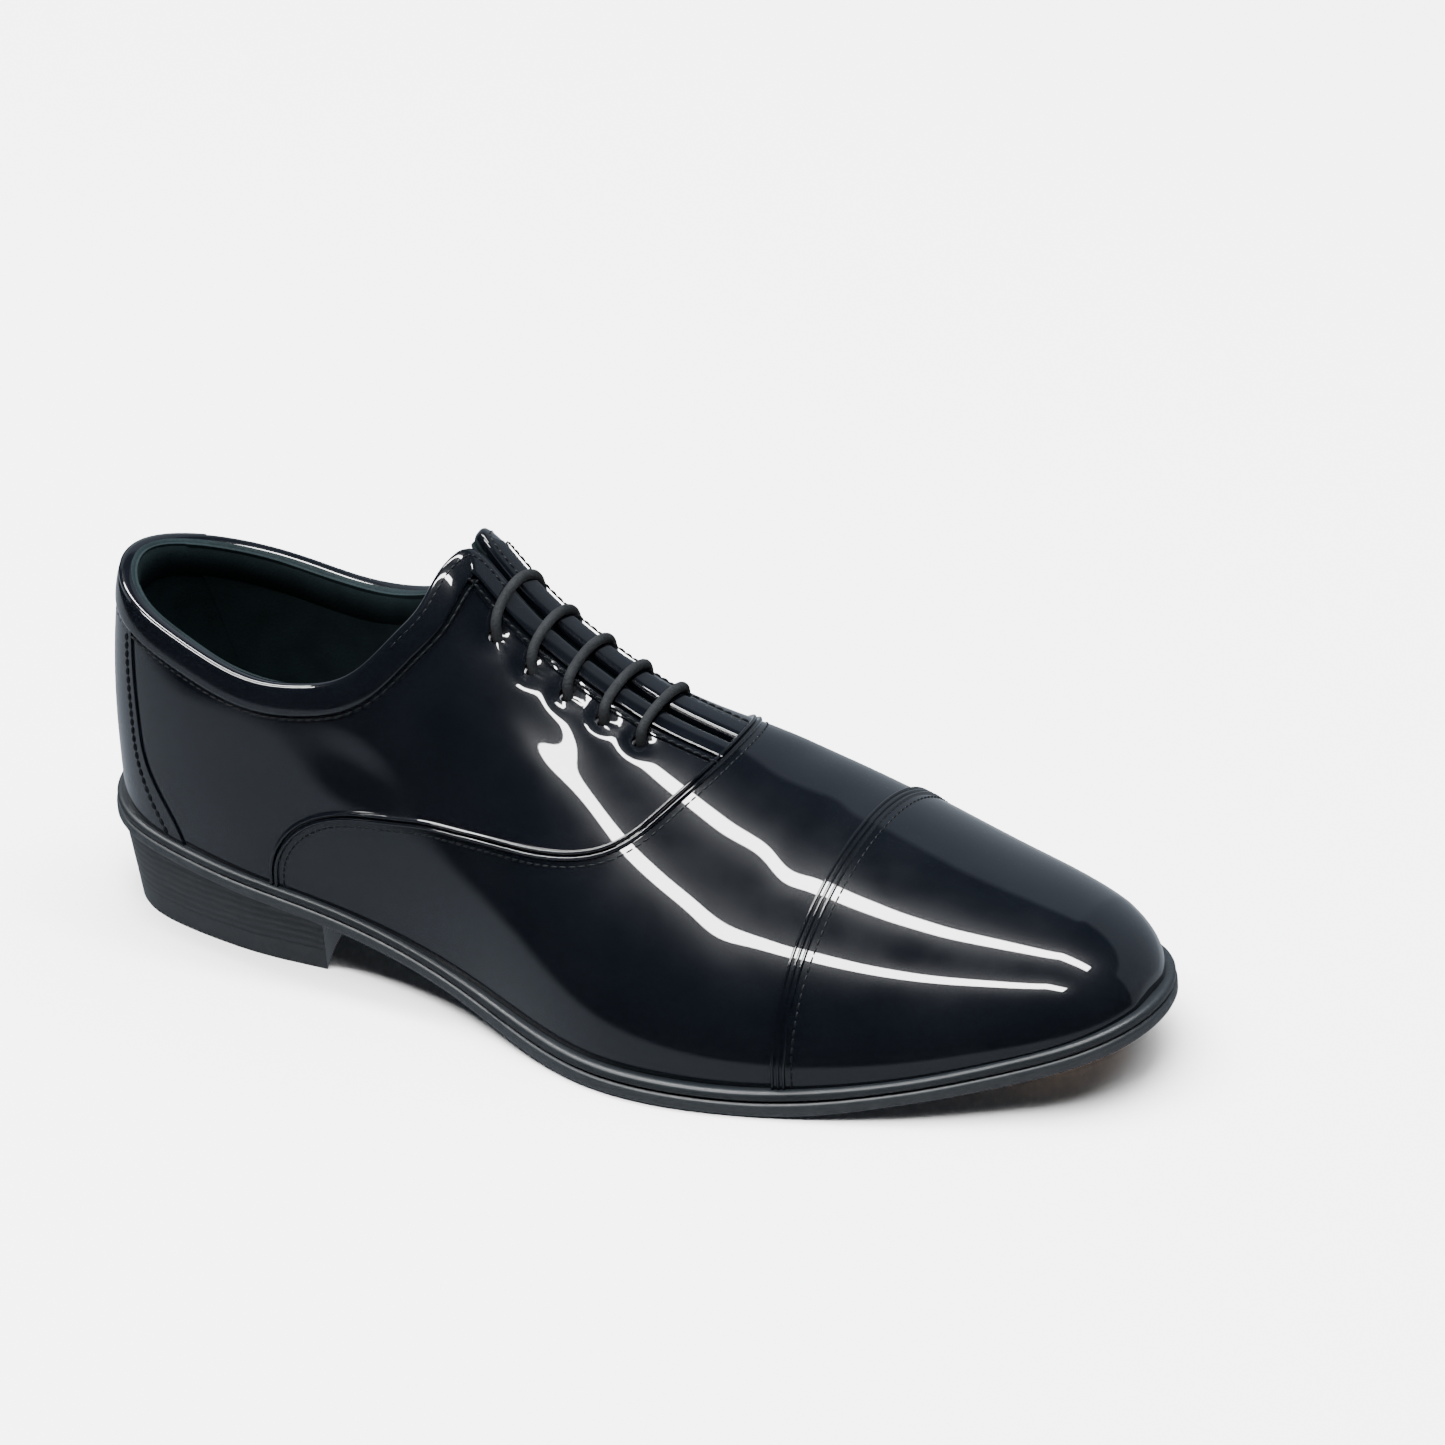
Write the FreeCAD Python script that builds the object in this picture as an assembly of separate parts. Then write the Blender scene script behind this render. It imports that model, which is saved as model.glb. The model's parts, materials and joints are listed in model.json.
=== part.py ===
import FreeCAD, Part
import math
import os

# A man's plain lace-up dress shoe with a toe cap, for the right foot.
# Heel to toe runs along +X, the inner (medial) side is +Y, up is +Z, the floor is z = 0.
# Every length is in millimetres.

V = FreeCAD.Vector

# ---- driving dimensions ----------------------------------------------------------------
HEEL_X = -150.0          # back of the sole
TOE_X = 150.0            # tip of the sole
AXIS_Y = 8.0             # the heel-to-toe line, from the middle of the sole's width
WELT_LEDGE = 3.6         # how far the sole stands out past the upper at heel and toe
LEATHER = 1.2
STIFFENER = (1.4, 2.4)   # insets of the layer behind the leather, outer face and inner face
LINING = (3.6, 4.4)
TONGUE = (8.6, 10.2)
TONGUE_LINING = (10.4, 11.2)
PIPING = (-1.3, -0.1)
CAP_SEAM_X = 67.0
THROAT_X = 29.0
BREAST_X = -76.0         # front face of the heel
HEEL_LIFT = 6.0          # thickness of the heel's top piece
FLEX_X = 52.0            # the ball line crosses the heel-to-toe line here
FLEX_SLANT = 0.15        # it slants forward towards the inner side
FLEX_Z = 8.5
FLEX_LIMIT = 25.0        # degrees of toe lift
FOOT_GAP = 0.25          # between the welt and the lower edge of the upper
LACE_R = 1.35
HOLE_R = 2.4
EYELETS = 5
EYELET_X = 9.5           # lowest pair
EYELET_PITCH = 9.7
EYELET_SIDE = 13.5       # from the ridge of the instep
FACING_GAP = 1.5         # each facing's edge, from the ridge

# ---- curves through hand-picked stations --------------------------------------------------


def smooth(stations):
    """A natural cubic spline through (x, value) stations, as a function of x."""
    xs = [x for x, _ in stations]
    ys = [y for _, y in stations]
    n = len(xs)
    steps = [xs[i + 1] - xs[i] for i in range(n - 1)]
    slopes = [(ys[i + 1] - ys[i]) / steps[i] for i in range(n - 1)]
    bend = [0.0] * n
    factor = [0.0] * n
    for i in range(1, n - 1):
        pivot = 2.0 * (steps[i - 1] + steps[i]) - steps[i - 1] * factor[i - 1]
        factor[i] = steps[i] / pivot
        bend[i] = (6.0 * (slopes[i] - slopes[i - 1]) - steps[i - 1] * bend[i - 1]) / pivot
    for i in range(n - 2, 0, -1):
        bend[i] -= factor[i] * bend[i + 1]

    def value(x):
        i = 0
        while i < n - 2 and x > xs[i + 1]:
            i += 1
        a = (xs[i + 1] - x) / steps[i]
        b = 1.0 - a
        curve = ((a ** 3 - a) * bend[i] + (b ** 3 - b) * bend[i + 1]) * steps[i] ** 2 / 6.0
        return a * ys[i] + b * ys[i + 1] + curve

    return value


def along(x, start, end):
    """Share of the way from start to end, kept within 0 and 1."""
    return min(1.0, max(0.0, (x - start) / (end - start)))


def rounded(stations, start, end, start_radius, end_radius):
    """A half width that closes to a round end at both start and end."""
    length = end - start

    def bow(x):
        share = along(x, start, end)
        return 2.0 * math.sqrt(share * (1.0 - share))

    table = [(start, math.sqrt(2.0 * start_radius * length) / 2.0)]
    table += [(x, value / bow(x)) for x, value in stations]
    table += [(end, math.sqrt(2.0 * end_radius * length) / 2.0)]
    fullness = smooth(table)
    return lambda x: fullness(x) * bow(x)


# Half widths of the sole, from the heel-to-toe line out.
sole_outer = rounded(
    [(-125, 31.0), (-100, 37.0), (-75, 38.5), (-28, 47.0), (15, 64.0), (50, 64.5),
     (80, 56.5), (105, 45.8), (125, 34.5)],
    HEEL_X, TOE_X, 34.0, 33.0)
sole_inner = rounded(
    [(-125, 32.0), (-100, 35.0), (-70, 32.5), (-28, 28.5), (10, 37.0), (45, 47.5),
     (70, 49.5), (100, 43.8), (125, 35.0)],
    HEEL_X, TOE_X, 34.0, 33.0)
# The heel-to-toe line swings outwards a little at the toe.
axis = smooth([(-150, AXIS_Y), (-60, AXIS_Y), (40, AXIS_Y), (90, 6.6), (120, 4.0), (150, 0.8)])
# Top of the welt, where the upper meets the sole.
feather = smooth([(-150, 30.2), (-120, 26.6), (-90, 23.4), (-60, 18.2), (-30, 12.0), (-5, 8.4),
                  (12, 7.2), (36, 6.8), (60, 6.8), (85, 9.0), (115, 14.2), (150, 23.0)])
# Underside of the outsole: flat on the floor between TREAD_BACK and TREAD_FRONT.
TREAD_BACK = 12.0
TREAD_FRONT = 60.0
arch = smooth([(-150, 24.1), (-120, 21.2), (-90, 17.6), (-60, 12.2), (-30, 5.6), (-5, 1.0),
               (TREAD_BACK, 0.0)])
spring = smooth([(TREAD_FRONT, 0.0), (75, 0.9), (95, 4.1), (120, 8.8), (150, 16.6)])


def sole_bottom(x):
    if x < TREAD_BACK:
        return max(0.0, arch(x))
    if x > TREAD_FRONT:
        return max(0.0, spring(x))
    return 0.0


# Height of the upper's ridge over the welt; behind the instep it is the last's cone.
crest = smooth([(-150, 90), (-120, 100), (-90, 105), (-60, 104), (-42, 98.5), (-30, 88.5),
                (-10, 76.0), (10, 66.0), (28, 59.0), (48, 51.0), (68, 44.0), (90, 36.0),
                (110, 28.8), (128, 21.5)])
# How far the ridge leans to the inner side of the section's middle.
lean = smooth([(-150, 0.0), (-100, 2.5), (-40, 9.0), (0, 13.0), (40, 15.0), (80, 8.0),
               (120, 3.0), (150, 0.0)])

UPPER_BACK = HEEL_X + WELT_LEDGE
UPPER_TIP = TOE_X - WELT_LEDGE
SECTION_POWER = 0.92
FORE = 1.0 - along(128, UPPER_BACK, UPPER_TIP)


def last_point(x, girth, inset=0.0):
    """A point of the last: girth runs 0 at the outer welt, 90 at the ridge, 180 inside."""
    share = along(x, UPPER_BACK, UPPER_TIP)
    angle = math.radians(girth)
    place = UPPER_BACK + inset + (UPPER_TIP - UPPER_BACK - 2.0 * inset) * share
    ratio = (TOE_X - HEEL_X) / (UPPER_TIP - UPPER_BACK)
    twin = HEEL_X + (x - UPPER_BACK) * ratio
    ledge = 1.0 - WELT_LEDGE * 0.85 / 56.0
    outer = sole_outer(twin) * ledge
    inner = sole_inner(twin) * ledge
    middle = axis(twin) + (inner - outer) / 2.0
    half = (inner + outer) / 2.0 * (1.0 - inset / 40.0)
    front = 1.0 - share
    if front < FORE:
        rise = crest(128) * math.sqrt(front / FORE)
    else:
        rise = crest(x)
    rise *= 1.0 - inset / 62.0
    bulk = math.sin(angle)
    leaning = lean(x) * math.sqrt(4.0 * share * (1.0 - share)) * bulk ** 2
    y = middle - half * math.cos(angle) + leaning
    z = feather(x) + FOOT_GAP + rise * bulk ** SECTION_POWER
    fade = max(0.0, 1.0 - share / 0.35) ** 2
    back_curve = 0.0019 * (z - 48.0) ** 2 * (1.0 if z > 48.0 else 0.3) - 0.6
    return V(place + back_curve * fade, y, z)


def girth_at(x, z):
    """Girth angle, on the outer side, of the height z."""
    rise = crest(x)
    level = min(1.0, max(0.0, (z - feather(x) - FOOT_GAP) / rise))
    return math.degrees(math.asin(level ** (1.0 / SECTION_POWER)))


def off_ridge(x, distance):
    """Girth angle of a point this far to the outer side of the ridge."""
    half = (sole_outer(x) + sole_inner(x)) / 2.0
    return math.degrees(math.acos(distance / half))


# ---- solids from surfaces and outlines ------------------------------------------------------


def solid_of(faces):
    shell = Part.Shell(faces)
    shell.sewShape()
    solid = Part.Solid(shell)
    if solid.Volume < 0:
        solid.reverse()
    return solid


def sheet(point, rows, columns, layer):
    """A curved panel: point(u, v, inset) at two insets, closed round its edges."""
    skins = []
    for inset in layer:
        grid = [[point(i / rows, j / columns, inset) for j in range(columns + 1)]
                for i in range(rows + 1)]
        skin = Part.BSplineSurface()
        skin.interpolate(grid)
        skins.append(skin)
    rims = []
    for skin in skins:
        u0, u1, v0, v1 = skin.bounds()
        rims.append([skin.uIso(u0), skin.uIso(u1), skin.vIso(v0), skin.vIso(v1)])
    faces = [skin.toShape() for skin in skins]
    for outer, inner in zip(*rims):
        faces.append(Part.makeRuledSurface(outer.toShape(), inner.toShape()))
    return solid_of(faces)


def spline(points, start=None, end=None):
    """A smooth curve through points, with its end directions where they are given."""
    curve = Part.BSplineCurve()
    if start or end:
        tangents = [start or V(0, 0, 0)] + [V(0, 0, 0)] * (len(points) - 2) + [end or V(0, 0, 0)]
        given = [bool(start)] + [False] * (len(points) - 2) + [bool(end)]
        curve.interpolate(Points=points, Tangents=tangents, TangentFlags=given)
    else:
        curve.interpolate(points)
    return curve.toShape()


def closed(edges):
    return Part.Face(Part.Wire(Part.__sortEdges__(edges)))


def side_region(edges):
    """Everything whose side view lies inside a loop of edges in the XZ plane."""
    loop = closed(edges)
    loop.translate(V(0, -90, 0))
    return loop.extrude(V(0, 180, 0))


def flat_edges(points):
    """Straight edges through points given as (x, z)."""
    places = [V(x, 0, z) for x, z in points]
    return [Part.LineSegment(a, b).toShape() for a, b in zip(places, places[1:])]


def side_curve(points, start=None, end=None):
    return spline([V(x, 0, z) for x, z in points], start, end)


def sole_outline(margin, level=0.0):
    """The sole's outline grown by a margin, as a closed curve at one level."""
    start = HEEL_X - margin
    end = TOE_X + margin
    places = []
    stations = [(1.0 - math.cos(math.pi * i / 22)) / 2.0 for i in range(23)]
    for share in stations:
        x = HEEL_X + (TOE_X - HEEL_X) * share
        grown = sole_outer(x) * (1.0 + margin / 45.0)
        places.append(V(start + (end - start) * share, axis(x) - grown, level))
    for share in reversed(stations[1:-1]):
        x = HEEL_X + (TOE_X - HEEL_X) * share
        grown = sole_inner(x) * (1.0 + margin / 45.0)
        places.append(V(start + (end - start) * share, axis(x) + grown, level))
    curve = Part.BSplineCurve()
    curve.interpolate(Points=places, PeriodicFlag=True)
    return Part.Wire(curve.toShape())


def plan_prism(margin):
    return Part.Face(sole_outline(margin, -5.0)).extrude(V(0, 0, 60))


def layer_region(low, high):
    """The space between two heights that vary along the shoe."""
    behind = [-156, -130, -105, -80, -55, -30, -8, TREAD_BACK]
    before = [TREAD_FRONT, 80, 100, 120, 138, 156]
    edges = []
    for height in (low, high):
        edges.append(side_curve([(x, height(x)) for x in behind], None, V(1, 0, 0)))
        edges += flat_edges([(x, height(x)) for x in (TREAD_BACK, TREAD_FRONT)])
        edges.append(side_curve([(x, height(x)) for x in before], V(1, 0, 0), None))
    for x in (behind[0], before[-1]):
        edges += flat_edges([(x, low(x)), (x, high(x))])
    return side_region(edges)


def plate(margin, low, high, hole_margin=None):
    body = plan_prism(margin)
    if hole_margin is not None:
        body = body.cut(plan_prism(hole_margin))
    return body.common(layer_region(low, high))


def slab(low_x, high_x):
    return Part.makeBox(high_x - low_x, 200, 200, V(low_x, -100, -20))


def flex_line(side):
    """The half space behind (-1) or in front (+1) of the ball line, with a hairline gap."""
    far = 260.0 * side
    gap = 0.15 * side
    corners = []
    for y in (-90.0, 90.0):
        corners.append(V(FLEX_X + FLEX_SLANT * (y - AXIS_Y) + gap, y, -20))
    outline = [corners[0], corners[1], corners[1] + V(far, 0, 0), corners[0] + V(far, 0, 0)]
    face = Part.Face(Part.makePolygon(outline + outline[:1]))
    return face.extrude(V(0, 0, 200))


def flex_wedge(side, spare=0.0):
    """As flex_line, but above the joint it leans away to leave room for the bend."""
    lean_x = math.tan(math.radians(FLEX_LIMIT / 2.0)) * 1.18
    rear_x = FLEX_X + (0.8 - spare) * side
    top = 120.0
    lower = [(rear_x, -20), (rear_x, FLEX_Z)]
    upper = [(rear_x + side * lean_x * (top - FLEX_Z), top)]
    away = [(rear_x + 260.0 * side, top), (rear_x + 260.0 * side, -20), (rear_x, -20)]
    region = side_region(flat_edges(lower + upper + away))
    shear = FreeCAD.Matrix()
    shear.A12 = FLEX_SLANT
    shear.A14 = -FLEX_SLANT * AXIS_Y
    return region.transformGeometry(shear)


parts = {}


def add(name, shape):
    """Keep a node's solids, after checking that they are sound."""
    solids = [s for s in shape.Solids if s.Volume > 0.5]
    assert solids, name
    for s in solids:
        assert s.isValid(), name
    result = solids[0] if len(solids) == 1 else Part.makeCompound(solids)
    parts[name] = result
    box = result.BoundBox
    print(f"{name:24s} solids {len(solids)}  volume {result.Volume:9.0f}"
          f"  x {box.XMin:7.1f} {box.XMax:7.1f}  y {box.YMin:6.1f} {box.YMax:6.1f}"
          f"  z {box.ZMin:6.1f} {box.ZMax:6.1f}")


# ---- the sole ----------------------------------------------------------------------------------
HAIR = 0.05
WELT_SHARE = 0.4         # of the sole's thickness


def welt_base(x):
    return feather(x) - WELT_SHARE * (feather(x) - sole_bottom(x))


RING = -8.0              # inner edge of the welt
tread = plate(0.0, sole_bottom, lambda x: welt_base(x) - HAIR)
welt = plate(-0.5, welt_base, feather, RING)
board = plate(RING - 0.4, lambda x: welt_base(x) + 1.6, lambda x: feather(x) - 0.1)
filler = plate(RING - 0.4, lambda x: welt_base(x) + HAIR, lambda x: welt_base(x) + 1.5)
sock = plate(RING - 2.6, feather, lambda x: feather(x) + 1.6)

NAIL_R = 1.0
NAIL_SPOTS = [(-133, 0), (-118, -15), (-118, 15), (-98, -16), (-98, 16)]


def nails(radius):
    made = []
    for x, y in NAIL_SPOTS:
        top = feather(x) - 0.3
        made.append(Part.makeCylinder(radius, 16.0, V(x, y + AXIS_Y, top - 16.0)))
        made.append(Part.makeCylinder(radius * 2.0, 1.0, V(x, y + AXIS_Y, top - 1.0)))
    return made


nail_holes = nails(NAIL_R + 0.15)


def bent(low_x, high_x, width, low, high):
    """A flat strip that follows the sole's side view."""
    strip = Part.makeBox(high_x - low_x, width, 60, V(low_x, AXIS_Y - 2 - width / 2, -5))
    return strip.common(layer_region(low, high))


shank = bent(-100, 0, 13, lambda x: welt_base(x) + 0.1, lambda x: welt_base(x) + 1.3)
shank_room = bent(-101, 1, 14, lambda x: welt_base(x), lambda x: welt_base(x) + 1.55)

rear = flex_line(-1)
fore = flex_line(1)
add("outsole_rear", tread.common(rear).cut(Part.makeCompound(nail_holes)))
add("outsole_fore", tread.common(fore))
add("welt_rear", welt.common(rear))
add("welt_fore", welt.common(fore))
add("insole_board_rear", board.common(rear).cut(Part.makeCompound(nail_holes)))
add("insole_board_fore", board.common(fore))
add("cork_filler_rear", filler.common(rear).cut(shank_room).cut(Part.makeCompound(nail_holes)))
add("cork_filler_fore", filler.common(fore))
add("shank", shank)
add("sock_liner_rear", sock.common(rear))
add("sock_liner_fore", sock.common(fore))
shafts = nails(NAIL_R)
add("heel_nails", Part.makeCompound([shafts[i].fuse(shafts[i + 1]) for i in range(0, 10, 2)]))


def heel_body(low, high, low_margin, high_margin):
    wires = [sole_outline(low_margin, low), sole_outline(high_margin, high)]
    stack = Part.makeLoft(wires, True, True)
    breast = Part.makeCylinder(90.0, 80, V(BREAST_X + 84.0, AXIS_Y, -10))
    return stack.common(slab(-160, BREAST_X + 8)).cut(breast)


under_seat = layer_region(lambda x: -6.0, lambda x: sole_bottom(x) - HAIR)
heel = heel_body(HEEL_LIFT + HAIR, 32.0, -3.6, -0.6)
add("heel_block", heel.common(under_seat).cut(Part.makeCompound(nail_holes)))
add("heel_top_piece", heel_body(0.0, HEEL_LIFT, -4.2, -3.6))

# ---- side views of the upper's seams ----------------------------------------------------------
SEAM = [(-87.5, 20), (-87, 29), (-82, 38.5), (-69, 46.5), (-50, 49.5), (-20, 51.5), (2, 52.5),
        (14, 55.0), (23.5, 61.5), (28.5, 70), (30, 84)]
TOPLINE = [(-156, 98), (-146, 93.0), (-130, 87.5), (-110, 82.5), (-92, 79.0), (-76, 80.0),
           (-62, 86.0), (-52, 96.5), (-43, 109.5), (-38.5, 122.0)]
STRIP = [(-117, 18), (-120, 26), (-128, 40), (-131, 55), (-133, 72), (-137, 104)]
SEAM_GAP = 0.25


def shifted(points, dx, dz):
    return [(x + dx, z + dz) for x, z in points]


BAND_HEIGHT = 8.0
topline = smooth(TOPLINE)
topline_places = [(TOPLINE[0][0] + (TOPLINE[-1][0] - TOPLINE[0][0]) * i / 26.0) for i in range(27)]
TOPLINE_EDGE = [(x, topline(x)) for x in topline_places]


def below_seam(shift):
    """Vamp side of the vamp seam."""
    seam = shifted(SEAM, shift, -shift)
    return side_region([side_curve(seam)] + flat_edges(
        [seam[-1], (160, seam[-1][1]), (160, -10), (seam[0][0], -10), seam[0]]))


def above_seam(shift, edge):
    """Quarter side of the vamp seam, up to an edge line and back to the strip's seam."""
    seam = shifted(SEAM, -shift, shift)
    strip = shifted(STRIP, shift, 0)
    loop = [side_curve(seam), side_curve(edge)]
    loop += flat_edges([seam[-1], (seam[-1][0], edge[-1][1]), edge[-1]])
    loop += flat_edges([seam[0], (seam[0][0], -10), (edge[0][0], -10), edge[0]])
    return side_region(loop).cut(behind_strip(-shift))


def behind_strip(shift):
    strip = shifted(STRIP, -shift, 0)
    return side_region([side_curve(strip)] + flat_edges(
        [strip[-1], (-170, strip[-1][1]), (-170, -10), (strip[0][0], -10), strip[0]]))


def under_line(line):
    return side_region([side_curve(line)] + flat_edges(
        [line[-1], (200, line[-1][1]), (200, -10), (line[0][0], -10), line[0]]))


def beside_ridge(side, gap):
    """Space on one side of the ridge, kept a gap clear of it."""
    stations = [-150, -110, -70, -42, -20, 0, 20, 45, 80]
    ridge = [last_point(x, 90.0) for x in stations]
    line = spline([V(p.x, p.y + side * gap, -10) for p in ridge])
    ends = [V(ridge[0].x, ridge[0].y + side * gap, -10), V(ridge[-1].x, ridge[-1].y + side * gap, -10)]
    outs = [V(end.x, side * 90.0, -10) for end in ends]
    loop = [line, Part.LineSegment(ends[0], outs[0]).toShape(),
            Part.LineSegment(outs[0], outs[1]).toShape(), Part.LineSegment(outs[1], ends[1]).toShape()]
    return closed(loop).extrude(V(0, 0, 160))


def full_sheet(layer, low_x, high_x, rows=44, columns=26):
    """The whole last between two stations, as one sheet."""
    low = math.acos(1.0 - 2.0 * along(low_x, UPPER_BACK, UPPER_TIP))
    high = math.acos(1.0 - 2.0 * along(high_x, UPPER_BACK, UPPER_TIP))

    def point(u, v, inset):
        share = (1.0 - math.cos(low + (high - low) * u)) / 2.0
        return last_point(UPPER_BACK + (UPPER_TIP - UPPER_BACK) * share, 180.0 * v, inset)

    return sheet(point, rows, columns, layer)


def back_sheet(layer, front_x, low, high, rows=16):
    """The last's back, wrapped from the outer side round the heel to the inner side."""
    reach = math.acos(1.0 - 2.0 * along(front_x, UPPER_BACK, UPPER_TIP))

    def point(u, v, inset):
        turn = 2.0 * u - 1.0
        share = (1.0 - math.cos(reach * abs(turn))) / 2.0
        x = UPPER_BACK + (UPPER_TIP - UPPER_BACK) * share
        girth = girth_at(x, low(x) + (high(x) - low(x)) * v)
        if turn > 0:
            girth = 180.0 - girth
        return last_point(x, girth, inset)

    return sheet(point, rows, 8, layer)


def welt_top(x):
    return feather(x) + FOOT_GAP


OUTER = (0.0, LEATHER)
leather = full_sheet(OUTER, -142, UPPER_TIP - 0.4)
stiff = full_sheet(STIFFENER, -135, UPPER_TIP - 3.0)
inside = full_sheet(LINING, -135, UPPER_TIP - 4.0)
between = full_sheet((2.6, 3.4), -60, 30, 20, 26)
outer_side = beside_ridge(-1, FACING_GAP)
inner_side = beside_ridge(1, FACING_GAP)
sides = {"outer": outer_side, "inner": inner_side}
under_topline = under_line(TOPLINE_EDGE)
wedge_rear = flex_wedge(-1)
wedge_fore = flex_wedge(1)


# ---- eyelets -------------------------------------------------------------------------------------


def eyelet(side, pair, inset, aside=0.0):
    """A point on an eyelet's line, at an inset; aside moves it down the facing."""
    x = EYELET_X - EYELET_PITCH * pair
    girth = off_ridge(x, EYELET_SIDE + aside)
    if side == "inner":
        girth = 180.0 - girth
    return last_point(x, girth, inset)


def punch(side, pair, radius, start, end):
    head = eyelet(side, pair, start)
    tail = eyelet(side, pair, end)
    return Part.makeCylinder(radius, (tail - head).Length, head, tail - head)


def eyelet_holes(side):
    return Part.makeCompound([punch(side, k, HOLE_R, -4.0, 7.5) for k in range(EYELETS)])


# ---- the upper -------------------------------------------------------------------------------------
quarter_room = above_seam(SEAM_GAP, TOPLINE_EDGE)
for side, half in sides.items():
    holes = eyelet_holes(side)
    panel = leather.common(quarter_room).common(half).cut(holes)
    add(f"quarter_{side}", panel)
    add(f"quarter_lining_{side}", inside.common(quarter_room).common(half).cut(holes))
    stay_room = slab(-38, 16).common(half).cut(beside_ridge(-1 if side == "outer" else 1, 20.0))
    add(f"facing_stay_{side}", stiff.common(stay_room).common(under_topline).cut(holes))
    rings = [punch(side, k, 3.6, -2.0, 7.0).cut(punch(side, k, 2.1, -3.0, 8.0)) for k in range(EYELETS)]
    add(f"blind_eyelets_{side}", Part.makeCompound([between.common(ring) for ring in rings]))

COUNTER_TOP = 63.0
behind = behind_strip(SEAM_GAP)
add("back_strip", back_sheet(OUTER, -112, welt_top, topline).common(behind))
add("heel_lining", back_sheet(LINING, -112, welt_top, topline).common(behind))
add("heel_counter", back_sheet((1.4, 2.6), -88, welt_top, lambda x: COUNTER_TOP))

# The collar band is folded over the topline from facing to facing; the foam lies behind it.
add("collar_band", back_sheet((-1.1, -0.1), -58, lambda x: topline(x) - BAND_HEIGHT, topline, 30))
add("collar_foam", back_sheet((1.5, 3.3), -62, lambda x: topline(x) - 9.5,
                              lambda x: topline(x) - 0.8, 26))

vamp_room = below_seam(SEAM_GAP)
add("vamp_rear", leather.common(vamp_room).common(wedge_rear).common(slab(-95, 66)))
add("vamp_fore", leather.common(wedge_fore).common(slab(20, CAP_SEAM_X - 0.15)))
crease_room = slab(20, CAP_SEAM_X - 0.4).cut(flex_wedge(-1, 0.5)).cut(flex_wedge(1, 0.5))
add("vamp_crease", leather.common(vamp_room).common(crease_room))
add("vamp_lining_crease", inside.common(vamp_room).common(crease_room))
add("toe_cap", leather.common(slab(CAP_SEAM_X + 0.15, 160)))
add("toe_puff", stiff.common(slab(CAP_SEAM_X + 4.0, 160)))
add("vamp_lining_rear", inside.common(vamp_room).common(wedge_rear).common(slab(-95, 66)))
add("vamp_lining_fore", inside.common(wedge_fore).common(slab(20, 160)))

# Raised bindings: one across the toe cap's edge, one along the vamp's edge.
bead = full_sheet(PIPING, -95, 90, 36, 26)
add("cap_binding", bead.common(slab(CAP_SEAM_X - 1.2, CAP_SEAM_X + 2.2)))
above = side_region([side_curve(shifted(SEAM, -1.1, 1.1)), side_curve(shifted(SEAM, 1.3, -1.3))]
                    + flat_edges([shifted(SEAM, -1.1, 1.1)[0], shifted(SEAM, 1.3, -1.3)[0]])
                    + flat_edges([shifted(SEAM, -1.1, 1.1)[-1], shifted(SEAM, 1.3, -1.3)[-1]]))
add("vamp_binding", bead.common(above))

# ---- the tongue, under the laces ------------------------------------------------------------------


def tongue_sheet(layer, reach):
    def point(u, v, inset):
        x = THROAT_X - 5.0 - (THROAT_X + 41.0) * u
        half_width = 15.0 + reach * u
        low = off_ridge(x, half_width)
        return last_point(x, low + (180.0 - 2.0 * low) * v, inset)

    return sheet(point, 14, 12, layer)


add("tongue", tongue_sheet(TONGUE, 7.0))
add("tongue_lining", tongue_sheet(TONGUE_LINING, 6.0))

# ---- the lace: straight bars outside, climbing between the pairs inside ----------------------------
INSIDE = 6.4
OUTSIDE = -2.5
other = {"outer": "inner", "inner": "outer"}


def over_facing(x, side, distance):
    girth = off_ridge(x, distance)
    if side == "inner":
        girth = 180.0 - girth
    return last_point(x, girth, OUTSIDE)


def bar(side, pair):
    """Out of one eyelet, over both facings, into the other eyelet of the pair."""
    far = other[side]
    x = EYELET_X - EYELET_PITCH * pair
    return [eyelet(side, pair, INSIDE), eyelet(side, pair, OUTSIDE), over_facing(x, side, 5.0),
            over_facing(x, far, 5.0), eyelet(far, pair, OUTSIDE), eyelet(far, pair, INSIDE)]


def on_sock(x, share):
    """A lace lying on the sock liner, a share of the way out to the side."""
    width = sole_outer(x) if share < 0 else sole_inner(x)
    return V(x, AXIS_Y + share * (width - 16.0), feather(x) + 2.1 + LACE_R)


route = [on_sock(13, -0.60), on_sock(0, -0.78), on_sock(-14, -0.84),
         last_point(-23, 27, 9.0), last_point(-24, 47, 7.0), last_point(-22, 62, 6.1)]
route += bar("outer", 3)
route += [eyelet("inner", 2, INSIDE, 4.5)]
route += bar("inner", 1)
route += bar("outer", 0)
route += [eyelet("inner", 1, INSIDE, -4.5)]
route += bar("inner", 2)
route += [eyelet("outer", 3, INSIDE, -4.5)]
route += bar("outer", 4)
route += [last_point(-31, 118, 5.8), last_point(-33, 133, 6.4), last_point(-29, 153, 9.2),
          on_sock(-20, 0.84), on_sock(-5, 0.74), on_sock(9, 0.50)]


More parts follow.
